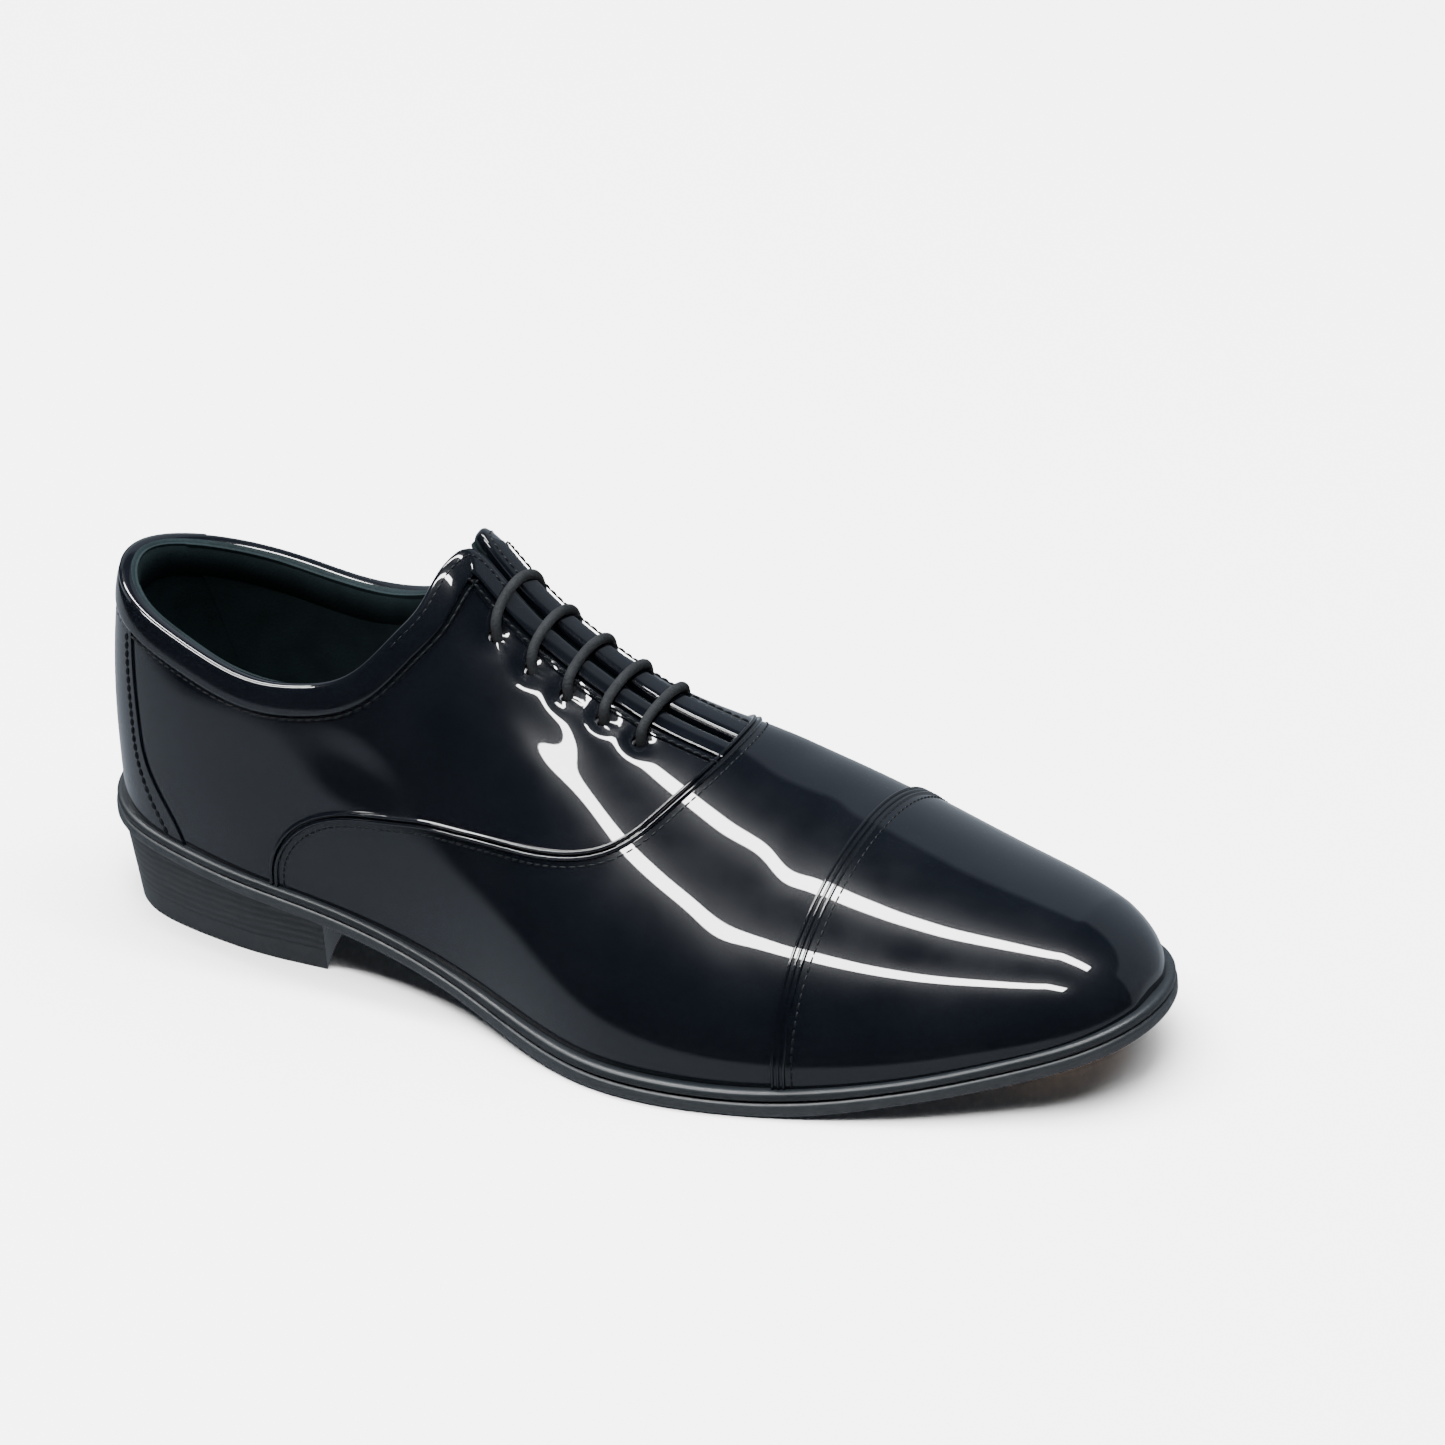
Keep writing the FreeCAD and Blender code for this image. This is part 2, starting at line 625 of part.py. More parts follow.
def cord(points, radius):
    """A round cord: straight runs joined by arcs as large as the runs allow."""
    edges = []
    smallest = 1e9
    here = points[0]
    length = 0.0
    for before, corner, after in zip(points, points[1:], points[2:]):
        into = (corner - before).normalize()
        out = (after - corner).normalize()
        turn = into.getAngle(out)
        reach = 0.45 * min((corner - before).Length, (after - corner).Length)
        bend = reach / math.tan(turn / 2.0)
        smallest = min(smallest, bend)
        enter = corner - into * reach
        leave = corner + out * reach
        centre_way = (out - into).normalize()
        centre = corner + centre_way * (bend / math.cos(turn / 2.0))
        middle = centre - centre_way * bend
        edges.append(Part.LineSegment(here, enter).toShape())
        edges.append(Part.Arc(enter, middle, leave).toShape())
        length += (enter - here).Length + bend * turn
        here = leave
    edges.append(Part.LineSegment(here, points[-1]).toShape())
    length += (points[-1] - here).Length
    path = Part.Wire(edges)
    start = (points[1] - points[0]).normalize()
    section = Part.Wire(Part.makeCircle(radius, points[0], start))
    tube = path.makePipeShell([section], True, False)
    print(f"lace: length {length:.1f}, smallest bend {smallest:.2f},"
          f" volume ratio {tube.Volume / (math.pi * radius ** 2 * length):.4f}")
    return tube


add("lace", cord(route, LACE_R))
TIP_LENGTH = 18.0
tips = []
for end, beside in ((route[0], route[1]), (route[-1], route[-2])):
    away = V(end.x - beside.x, end.y - beside.y, 0).normalize()
    tips.append(Part.makeCylinder(LACE_R + 0.15, TIP_LENGTH, end, away))
add("lace_tips", Part.makeCompound(tips))

os.makedirs("parts", exist_ok=True)
for name, shape in parts.items():
    shape.exportStep(f"parts/{name}.step")
whole = Part.makeCompound(list(parts.values())).BoundBox
print("whole", whole)
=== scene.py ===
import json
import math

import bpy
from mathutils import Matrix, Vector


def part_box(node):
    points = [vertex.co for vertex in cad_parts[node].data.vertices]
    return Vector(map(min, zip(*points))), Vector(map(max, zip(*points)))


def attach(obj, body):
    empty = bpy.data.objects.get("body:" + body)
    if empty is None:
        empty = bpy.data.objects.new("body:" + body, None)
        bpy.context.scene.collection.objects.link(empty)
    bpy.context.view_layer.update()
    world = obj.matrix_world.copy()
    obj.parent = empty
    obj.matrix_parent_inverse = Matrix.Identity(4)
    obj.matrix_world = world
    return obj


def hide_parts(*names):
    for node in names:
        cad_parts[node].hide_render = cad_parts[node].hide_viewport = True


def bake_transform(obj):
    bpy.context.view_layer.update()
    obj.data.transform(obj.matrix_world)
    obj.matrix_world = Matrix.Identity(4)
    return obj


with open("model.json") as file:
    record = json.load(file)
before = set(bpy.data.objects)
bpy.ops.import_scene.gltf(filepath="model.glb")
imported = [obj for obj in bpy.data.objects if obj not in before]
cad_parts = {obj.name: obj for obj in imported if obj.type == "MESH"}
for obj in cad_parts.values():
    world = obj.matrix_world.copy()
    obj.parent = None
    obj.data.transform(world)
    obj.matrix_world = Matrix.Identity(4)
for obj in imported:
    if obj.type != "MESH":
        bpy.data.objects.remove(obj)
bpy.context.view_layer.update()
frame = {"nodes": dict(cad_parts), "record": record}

# %% [markdown]
# # A patent leather lace-up shoe with a toe cap
# A shoe is built around a last, the solid foot-shaped block that the leather is pulled over.
# This lesson does the same. First the last is described by a few listed sections, then
# every panel is cut, laid on the last, and given its thickness.

MM = 0.001
sole_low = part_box("outsole_rear")[0] / MM
sole_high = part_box("outsole_fore")[1] / MM
HEEL_X = sole_low.x
TOE_X = sole_high.x
AXIS_Y = 8.0          # how far the middle line of the heel and waist lies to the inner side
LEATHER = 1.2         # thickness of the upper's leather
CLOTH = 0.8           # thickness of the lining
LINING_LIFT = -3.6    # the lining's outer face, under the leather's
print("sole runs from", round(HEEL_X), "to", round(TOE_X), "mm")

# %% [markdown]
# ## The eye
# A long lens from the outer side of the toe, a little above, looking down at about thirty
# degrees. The shoe is small in the picture with plenty of plain ground around it.

# %% Camera
VIEW_TURN = 29.4
VIEW_HEIGHT = 28.7
VIEW_TILT = -4.6
VIEW_DISTANCE = 2.5
LENS_PER_FRAME = 6.822      # focal length over the width of the picture


def eye_axes(turn, height, tilt):
    """The right, up and back directions of the eye."""
    a = math.radians(turn)
    e = math.radians(height)
    back = Vector((math.sin(a) * math.cos(e), -math.cos(a) * math.cos(e), math.sin(e)))
    right = Vector((0, 0, 1)).cross(back).normalized()
    up = back.cross(right)
    t = math.radians(tilt)
    return right * math.cos(t) + up * math.sin(t), up * math.cos(t) - right * math.sin(t), back


right, up, back = eye_axes(VIEW_TURN, VIEW_HEIGHT, VIEW_TILT)
bpy.ops.object.camera_add()
camera = bpy.context.object
camera.name = "eye"
camera.data.sensor_width = 36.0
camera.data.lens = 36.0 * LENS_PER_FRAME
camera.data.clip_end = 50.0
place = Vector((0, 0.003, 0.040)) + back * VIEW_DISTANCE + right * 0.0239 + up * 0.0271
camera.matrix_world = Matrix.Translation(place) @ Matrix((right, up, back)).transposed().to_4x4()
bpy.context.scene.camera = camera
print("eye at", [round(v, 2) for v in place])

# %% [markdown]
# ## The last
# Smooth curves through a few stations give the sole's two half widths, the height of the
# welt, the height of the ridge over it, and how far the ridge leans to the inner side. A
# point of the last is then a station along the shoe and a girth angle: 0 at the outer welt,
# 90 on the ridge, 180 at the inner welt.

# %% Curves of the last


def smooth(stations):
    """A natural cubic spline through (x, value) stations, as a function of x."""
    xs = [x for x, _ in stations]
    ys = [y for _, y in stations]
    n = len(xs)
    steps = [xs[i + 1] - xs[i] for i in range(n - 1)]
    slopes = [(ys[i + 1] - ys[i]) / steps[i] for i in range(n - 1)]
    bend = [0.0] * n
    factor = [0.0] * n
    for i in range(1, n - 1):
        pivot = 2.0 * (steps[i - 1] + steps[i]) - steps[i - 1] * factor[i - 1]
        factor[i] = steps[i] / pivot
        bend[i] = (6.0 * (slopes[i] - slopes[i - 1]) - steps[i - 1] * bend[i - 1]) / pivot
    for i in range(n - 2, 0, -1):
        bend[i] -= factor[i] * bend[i + 1]

    def value(x):
        i = 0
        while i < n - 2 and x > xs[i + 1]:
            i += 1
        a = (xs[i + 1] - x) / steps[i]
        b = 1.0 - a
        curve = ((a ** 3 - a) * bend[i] + (b ** 3 - b) * bend[i + 1]) * steps[i] ** 2 / 6.0
        return a * ys[i] + b * ys[i + 1] + curve

    return value


def along(x, start, end):
    """Share of the way from start to end, kept within 0 and 1."""
    return min(1.0, max(0.0, (x - start) / (end - start)))


def rounded(stations, start, end, start_radius, end_radius):
    """A half width that closes to a round end at both start and end."""
    length = end - start

    def bow(x):
        share = along(x, start, end)
        return 2.0 * math.sqrt(share * (1.0 - share))

    table = [(start, math.sqrt(2.0 * start_radius * length) / 2.0)]
    table += [(x, value / bow(x)) for x, value in stations]
    table += [(end, math.sqrt(2.0 * end_radius * length) / 2.0)]
    fullness = smooth(table)
    return lambda x: fullness(x) * bow(x)


sole_outer = rounded(
    [(-125, 31.0), (-100, 37.0), (-75, 38.5), (-28, 47.0), (15, 64.0), (50, 64.5),
     (80, 56.5), (105, 45.8), (125, 34.5)], HEEL_X, TOE_X, 34.0, 33.0)
sole_inner = rounded(
    [(-125, 32.0), (-100, 35.0), (-70, 32.5), (-28, 28.5), (10, 37.0), (45, 47.5),
     (70, 49.5), (100, 43.8), (125, 35.0)], HEEL_X, TOE_X, 34.0, 33.0)
axis = smooth([(-150, AXIS_Y), (-60, AXIS_Y), (40, AXIS_Y), (90, 6.6), (120, 4.0), (150, 0.8)])
feather = smooth([(-150, 30.2), (-120, 26.6), (-90, 23.4), (-60, 18.2), (-30, 12.0),
                  (-5, 8.4), (12, 7.2), (36, 6.8), (60, 6.8), (85, 9.0), (115, 14.2),
                  (150, 23.0)])
TREAD_BACK = 12.0
TREAD_FRONT = 60.0
arch = smooth([(-150, 24.1), (-120, 21.2), (-90, 17.6), (-60, 12.2), (-30, 5.6),
               (-5, 1.0), (TREAD_BACK, 0.0)])
spring = smooth([(TREAD_FRONT, 0.0), (75, 0.9), (95, 4.1), (120, 8.8), (150, 16.6)])
crest = smooth([(-150, 90), (-120, 100), (-90, 105), (-60, 104), (-42, 98.5), (-30, 88.5),
                (-10, 76.0), (10, 66.0), (28, 59.0), (48, 51.0), (68, 44.0), (90, 36.0),
                (110, 28.8), (128, 21.5)])
lean = smooth([(-150, 0.0), (-100, 2.5), (-40, 9.0), (0, 13.0), (40, 15.0), (80, 8.0),
               (120, 3.0), (150, 0.0)])
WELT_LEDGE = 3.6
UPPER_BACK = HEEL_X + WELT_LEDGE
UPPER_TIP = TOE_X - WELT_LEDGE
SECTION_POWER = 0.92
FOOT_GAP = 0.1             # between the welt and the lower edge of the upper
FORE = 1.0 - along(128, UPPER_BACK, UPPER_TIP)


def sole_bottom(x):
    if x < TREAD_BACK:
        return max(0.0, arch(x))
    if x > TREAD_FRONT:
        return max(0.0, spring(x))
    return 0.0


def last_point(x, girth, inset=0.0):
    """A point of the last: girth runs 0 at the outer welt, 90 at the ridge, 180 inside."""
    share = along(x, UPPER_BACK, UPPER_TIP)
    angle = math.radians(girth)
    place = UPPER_BACK + inset + (UPPER_TIP - UPPER_BACK - 2.0 * inset) * share
    twin = HEEL_X + (x - UPPER_BACK) * (TOE_X - HEEL_X) / (UPPER_TIP - UPPER_BACK)
    ledge = 1.0 - WELT_LEDGE * 0.85 / 56.0
    outer = sole_outer(twin) * ledge
    inner = sole_inner(twin) * ledge
    middle = axis(twin) + (inner - outer) / 2.0
    half = (inner + outer) / 2.0 * (1.0 - inset / 40.0)
    front = 1.0 - share
    rise = crest(128) * math.sqrt(front / FORE) if front < FORE else crest(x)
    rise *= 1.0 - inset / 62.0
    bulk = max(0.0, math.sin(angle))
    leaning = lean(x) * math.sqrt(4.0 * share * (1.0 - share)) * bulk ** 2
    y = middle - half * math.cos(angle) + leaning
    z = feather(x) + FOOT_GAP + rise * bulk ** SECTION_POWER
    fade = max(0.0, 1.0 - share / 0.35) ** 2
    back_curve = 0.0019 * (z - 48.0) ** 2 * (1.0 if z > 48.0 else 0.3) - 0.6
    return Vector((place + back_curve * fade, y, z))


def girth_at(x, z):
    """Girth angle, on the outer side, of the height z."""
    level = min(1.0, max(0.0, (z - feather(x) - FOOT_GAP) / crest(x)))
    return math.degrees(math.asin(level ** (1.0 / SECTION_POWER)))


def off_ridge(x, distance):
    """Girth angle of a point this far to the outer side of the ridge."""
    half = (sole_outer(x) + sole_inner(x)) / 2.0
    return math.degrees(math.acos(distance / half))


def turn_of(x):
    """The angle that spreads stations evenly round the heel and the toe."""
    return math.acos(1.0 - 2.0 * along(x, UPPER_BACK, UPPER_TIP))


def station(turn):
    return UPPER_BACK + (UPPER_TIP - UPPER_BACK) * (1.0 - math.cos(turn)) / 2.0


def on_last(x, girth):
    """The point and the outward direction of the last's surface there."""
    turn = turn_of(x)
    step = 0.004
    low = max(0.0, turn - step)
    high = min(math.pi, turn + step)
    g_low = max(0.0, girth - 0.4)
    g_high = min(180.0, girth + 0.4)
    lengthwise = last_point(station(high), girth) - last_point(station(low), girth)
    across = last_point(x, g_high) - last_point(x, g_low)
    return last_point(x, girth), lengthwise.cross(across).normalized()


print("ridge over the ball:", round(last_point(50, 90).z, 1), "mm")

# %% [markdown]
# ## The lace
# One waxed cotton lace. Outside it makes five bars; inside it climbs from pair to pair, and
# both tails are tucked down beside the tongue. Its line is the same listed route as the
# solid lace, about half a metre long.

# %% Lace
EYELETS = 5
EYELET_X = 9.5
EYELET_PITCH = 9.7
EYELET_SIDE = 13.5
LACE_R = 1.35
INSIDE = 6.4
OUTSIDE = -2.5


def eyelet_spot(side, pair, aside=0.0):
    x = EYELET_X - EYELET_PITCH * pair
    girth = off_ridge(x, EYELET_SIDE + aside)
    return x, (girth if side == "outer" else 180.0 - girth)


def eyelet(side, pair, inset, aside=0.0):
    return last_point(*eyelet_spot(side, pair, aside), inset)


def over_facing(x, side, distance):
    girth = off_ridge(x, distance)
    return last_point(x, girth if side == "outer" else 180.0 - girth, OUTSIDE)


def bar(side, pair):
    """Out of one eyelet, over both facings, into the other eyelet of the pair."""
    far = "inner" if side == "outer" else "outer"
    x = EYELET_X - EYELET_PITCH * pair
    return [eyelet(side, pair, INSIDE), eyelet(side, pair, 1.0), over_facing(x, side, 11.6),
            over_facing(x, side, 4.0), over_facing(x, far, 4.0), over_facing(x, far, 11.6),
            eyelet(far, pair, 1.0), eyelet(far, pair, INSIDE)]


def on_sock(x, share):
    """A lace lying on the sock liner, a share of the way out to the side."""
    width = sole_outer(x) if share < 0 else sole_inner(x)
    return Vector((x, AXIS_Y + share * (width - 16.0), feather(x) + 2.1 + LACE_R))


route = [on_sock(13, -0.60), on_sock(0, -0.78), on_sock(-14, -0.84),
         last_point(-23, 27, 9.0), last_point(-24, 47, 7.0), last_point(-22, 62, 6.1)]
route += bar("outer", 3)
route += [eyelet("inner", 2, INSIDE, 4.5)]
route += bar("inner", 1)
route += bar("outer", 0)
route += [eyelet("inner", 1, INSIDE, -4.5)]
route += bar("inner", 2)
route += [eyelet("outer", 3, INSIDE, -4.5)]
route += bar("outer", 4)
route += [last_point(-31, 118, 5.8), last_point(-33, 133, 6.4), last_point(-29, 153, 9.2),
          on_sock(-20, 0.84), on_sock(-5, 0.74), on_sock(9, 0.50)]

lace_curve = bpy.data.curves.new("lace_line", "CURVE")
lace_curve.dimensions = "3D"
line = lace_curve.splines.new("NURBS")
line.points.add(len(route) - 1)
for control, point in zip(line.points, route):
    control.co = (*(point * MM), 1.0)
    control.radius = LACE_R * MM
line.order_u = 3
line.use_endpoint_u = True
line.resolution_u = 8
lace_curve.bevel_depth = 1.0      # the thickness is in the points, which keeps the bounds true
lace_curve.bevel_resolution = 5
lace_curve.use_fill_caps = True
lace = bpy.data.objects.new("lace_cord", lace_curve)
bpy.context.scene.collection.objects.link(lace)
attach(lace, "shoe")
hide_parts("lace")
print("lace control points:", len(route))

# %% [markdown]
# ## Soft dents
# Leather pulled over a last is never a perfect surface. A few shallow hollows and swellings
# break up the reflections in the quarter and at the ball, where a foot has bent the shoe.

# %% Relief of the leather
# (station, girth, height, spread along, spread in girth)
DENTS = [
    (-62, 22, -0.7, 16, 6), (-30, 40, 0.8, 13, 8), (-12, 58, -0.9, 12, 8),
    (-48, 44, -0.8, 11, 9), (8, 30, 0.5, 16, 8), (-96, 14, -0.5, 16, 6),
    (46, 44, -0.5, 7, 14), (56, 74, -0.45, 5, 16), (42, 104, -0.45, 6, 16),
    (-112, 22, 0.6, 14, 9), (-24, 152, 0.6, 16, 9), (-70, 156, -0.6, 15, 8),
]


def relief(x, girth):
    """How far the dents lift or sink the leather."""
    total = 0.0
    for centre, angle, height, wide, tall in DENTS:
        away = ((x - centre) / wide) ** 2 + ((girth - angle) / tall) ** 2
        total += height * math.exp(-away)
    return total


HOLE_R = 1.9          # radius of the punched eyelet holes
EYELET_POINTS = [last_point(*eyelet_spot(side, k)) for side in ("outer", "inner")
                 for k in range(EYELETS)]


def pull_in(point):
    """How far the laces pull the leather in round the nearest eyelet."""
    nearest = min((point - hole).length for hole in EYELET_POINTS)
    return 1.1 * math.exp(-(nearest / 3.4) ** 2)


def skin(x, girth, lift=0.0):
    """A point of the finished upper, lifted off the last's surface."""
    point, out = on_last(x, girth)
    return point + out * (lift + relief(x, girth) - pull_in(point))


# %% [markdown]
# ## Ways of making a piece
# `lay` takes a flat grid and lays its corners on the last. `thicken` gives it the leather's
# thickness inwards. `ribbon` runs a profile along a line, for bindings, the collar and the
# threads. These three moves make almost the whole upper.

# %% Helpers


def alone(obj):
    bpy.ops.object.select_all(action="DESELECT")
    obj.select_set(True)
    bpy.context.view_layer.objects.active = obj


def lay(name, columns, rows, place):
    """A flat grid whose corners are laid where place(u, v) says, in millimetres."""
    bpy.ops.mesh.primitive_grid_add(x_subdivisions=columns, y_subdivisions=rows, size=1)
    obj = bpy.context.object
    obj.name = name
    obj.data.name = name
    for vertex in obj.data.vertices:
        u = min(1.0, max(0.0, vertex.co.x + 0.5))
        v = min(1.0, max(0.0, vertex.co.y + 0.5))
        vertex.co = place(u, v) * MM
    return obj


def in_edit(obj, *steps):
    """Do some edit-mode steps on the whole mesh."""
    alone(obj)
    bpy.ops.object.mode_set(mode="EDIT")
    bpy.ops.mesh.select_all(action="SELECT")
    for step in steps:
        step()
    bpy.ops.object.mode_set(mode="OBJECT")


def apply_modifier(obj, kind, **settings):
    alone(obj)
    modifier = obj.modifiers.new(kind.lower(), kind)
    for key, value in settings.items():
        setattr(modifier, key, value)
    bpy.ops.object.modifier_apply(modifier=modifier.name)


def weld(obj, distance=0.02):
    in_edit(obj, lambda: bpy.ops.mesh.remove_doubles(threshold=distance * MM))


def thicken(obj, thickness, flip=True):
    """Thickness, inwards from the outer face. A grid laid the other way is flipped first."""
    if flip:
        in_edit(obj, bpy.ops.mesh.flip_normals)
    apply_modifier(obj, "SOLIDIFY", thickness=thickness * MM, offset=-1.0, use_even_offset=True)


def shade(obj, angle=38.0):
    alone(obj)
    bpy.ops.object.shade_smooth_by_angle(angle=math.radians(angle))


def path_through(points):
    """A smooth line through (station, girth) points, as a function of 0 to 1."""
    places = [last_point(x, g) for x, g in points]
    marks = [0.0]
    for a, b in zip(places, places[1:]):
        marks.append(marks[-1] + (b - a).length)
    marks = [m / marks[-1] for m in marks]
    station_of = smooth([(m, x) for m, (x, _) in zip(marks, points)])
    girth_of = smooth([(m, g) for m, (_, g) in zip(marks, points)])
    return lambda s: (station_of(s), min(180.0, max(0.0, girth_of(s))))


def pair_up(lower, upper):
    """Two matched lines of (station, girth) points as functions of the same 0 to 1."""
    marks = [0.0]
    for (a, b), (c, d) in zip(zip(lower, lower[1:]), zip(upper, upper[1:])):
        gap = (last_point(*b) - last_point(*a)).length + (last_point(*d) - last_point(*c)).length
        marks.append(marks[-1] + gap)
    marks = [m / marks[-1] for m in marks]
    lines = []
    for points in (lower, upper):
        station_of = smooth([(m, x) for m, (x, _) in zip(marks, points)])
        girth_of = smooth([(m, g) for m, (_, g) in zip(marks, points)])
        lines.append((station_of, girth_of))
    return lines


def panel(name, lower, upper, columns, rows, lift, mirrored=False):
    """A leather panel between two matched lines on the last."""
    (low_x, low_g), (high_x, high_g) = pair_up(lower, upper)

    def place(u, v):
        x = low_x(u) + (high_x(u) - low_x(u)) * v
        girth = low_g(u) + (high_g(u) - low_g(u)) * v
        girth = min(180.0, max(0.0, girth))
        return skin(x, 180.0 - girth if mirrored else girth, lift)

    return lay(name, columns, rows, place)


def ribbon(name, line, profile, pieces, steps=24, lift=0.0):
    """Runs a profile(v, u) of (across, height) along a line(u) of (station, girth)."""
    step = 0.5 / pieces

    def place(u, v):
        here = skin(*line(u), lift)
        ahead = skin(*line(min(1.0, u + step)), lift)
        behind = skin(*line(max(0.0, u - step)), lift)
        along_line = (ahead - behind).normalized()
        out = on_last(*line(u))[1]
        across = out.cross(along_line).normalized()
        side, height = profile(v, u)
        return here + across * side + out * height

    return lay(name, pieces, steps, place)


def side_point(x, z):
    """The (station, girth) of a point of the outer side at the height z."""
    return x, girth_at(x, z)


def beside(x, distance):
    """The (station, girth) of a point this far to the outer side of the ridge."""
    return x, off_ridge(x, distance)


def other_side(points):
    """The same points on the inner side."""
    return [(x, 180.0 - g) for x, g in points]


def belongs(obj, body, slot, *nodes):
    """The piece moves with a body and stands for these solid nodes. The slot is not used."""
    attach(obj, body)
    if nodes:
        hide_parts(*nodes)


# %% [markdown]
# ## Finishes
# Every finish is a principled surface with something small going on in it: patent leather
# has a clear coat over a nearly black blue, with a faint grain and slow waves that bend the
# reflections. Rubber, wood grain, cloth and cotton each have their own fine bump.

# %% Finishes


def node_set(name, colour, rough, coat=0.0, metal=0.0):
    material = bpy.data.materials.new(name)
    material.use_nodes = True
    nodes = material.node_tree.nodes
    links = material.node_tree.links
    shader = nodes["Principled BSDF"]
    shader.inputs["Base Color"].default_value = (*colour, 1.0)
    shader.inputs["Roughness"].default_value = rough
    shader.inputs["Metallic"].default_value = metal
    shader.inputs["Coat Weight"].default_value = coat
    coordinates = nodes.new("ShaderNodeTexCoord")
    return material, nodes, links, shader, coordinates


def noise(nodes, links, coordinates, scale, detail=3.0, stretch=(1, 1, 1)):
    mapping = nodes.new("ShaderNodeMapping")
    mapping.inputs["Scale"].default_value = stretch
    links.new(coordinates.outputs["Object"], mapping.inputs["Vector"])
    texture = nodes.new("ShaderNodeTexNoise")
    texture.inputs["Scale"].default_value = scale
    texture.inputs["Detail"].default_value = detail
    links.new(mapping.outputs["Vector"], texture.inputs["Vector"])
    return texture.outputs["Fac"]


def bump_from(nodes, links, height, distance, strength, below=None):
    bump = nodes.new("ShaderNodeBump")
    bump.inputs["Distance"].default_value = distance
    bump.inputs["Strength"].default_value = strength
    links.new(height, bump.inputs["Height"])
    if below is not None:
        links.new(below, bump.inputs["Normal"])
    return bump.outputs["Normal"]


def between(nodes, links, value, low, high):
    """Stretch a texture's middle values to a range."""
    spread = nodes.new("ShaderNodeMapRange")
    spread.inputs["From Min"].default_value = 0.3
    spread.inputs["From Max"].default_value = 0.7
    spread.inputs["To Min"].default_value = low
    spread.inputs["To Max"].default_value = high
    links.new(value, spread.inputs["Value"])
    return spread.outputs["Result"]


def blend_colours(nodes, links, value, first, second):
    mix = nodes.new("ShaderNodeMix")
    mix.data_type = "RGBA"
    mix.inputs["A"].default_value = (*first, 1.0)
    mix.inputs["B"].default_value = (*second, 1.0)
    links.new(value, mix.inputs["Factor"])
    return mix.outputs["Result"]


def patent():
    material, nodes, links, shader, place = node_set("patent", (0.0015, 0.002, 0.003), 0.25, 1.0)
    shader.inputs["Specular IOR Level"].default_value = 0.05
    shader.inputs["Coat Roughness"].default_value = 0.025
    shader.inputs["Coat IOR"].default_value = 1.55
    waves = noise(nodes, links, place, 24.0, 0.0)
    puckers = noise(nodes, links, place, 90.0, 0.0)
    cloud = noise(nodes, links, place, 60.0, 4.0)
    links.new(between(nodes, links, cloud, 0.2, 0.32), shader.inputs["Roughness"])
    soft = bump_from(nodes, links, waves, 0.0012, 0.4)
    fine = bump_from(nodes, links, puckers, 0.00005, 0.4, soft)
    links.new(fine, shader.inputs["Normal"])
    links.new(fine, shader.inputs["Coat Normal"])
    tint = blend_colours(nodes, links, cloud, (0.001, 0.0014, 0.0022), (0.002, 0.0026, 0.004))
    links.new(tint, shader.inputs["Base Color"])
    return material


def matt(name, first, second, rough, scale, depth, stretch=(1, 1, 1), metal=0.0, shine=0.5):
    """A plain surface with a two-tone fleck and a bump of the same pattern."""
    material, nodes, links, shader, place = node_set(name, first, rough, 0.0, metal)
    shader.inputs["Specular IOR Level"].default_value = shine
    fleck = noise(nodes, links, place, scale, 5.0, stretch)
    broad = noise(nodes, links, place, scale / 12.0, 3.0, stretch)
    links.new(blend_colours(nodes, links, between(nodes, links, broad, 0.0, 1.0), first, second),
              shader.inputs["Base Color"])
    links.new(between(nodes, links, fleck, rough * 0.85, min(1.0, rough * 1.15)),
              shader.inputs["Roughness"])
    links.new(bump_from(nodes, links, fleck, depth, 0.6), shader.inputs["Normal"])
    return material


def wood_grain(name, first, second, rough, stack):
    """Long grain lines, with thin dark seams between the lifts of a stacked heel."""
    material, nodes, links, shader, place = node_set(name, first, rough)
    grain = noise(nodes, links, place, 60.0, 6.0, (1, 4, 14))
    lines = nodes.new("ShaderNodeTexWave")
    lines.bands_direction = "Z"
    lines.inputs["Scale"].default_value = stack
    lines.inputs["Distortion"].default_value = 1.6
    lines.inputs["Detail"].default_value = 1.0
    links.new(place.outputs["Object"], lines.inputs["Vector"])
    both = nodes.new("ShaderNodeMath")
    both.operation = "MULTIPLY"
    links.new(grain, both.inputs[0])
    links.new(lines.outputs["Fac"], both.inputs[1])
    links.new(blend_colours(nodes, links, both.outputs["Value"], first, second),
              shader.inputs["Base Color"])
    under = bump_from(nodes, links, lines.outputs["Fac"], 0.00012, 0.4)
    links.new(bump_from(nodes, links, grain, 0.00015, 0.6, under), shader.inputs["Normal"])
    return material


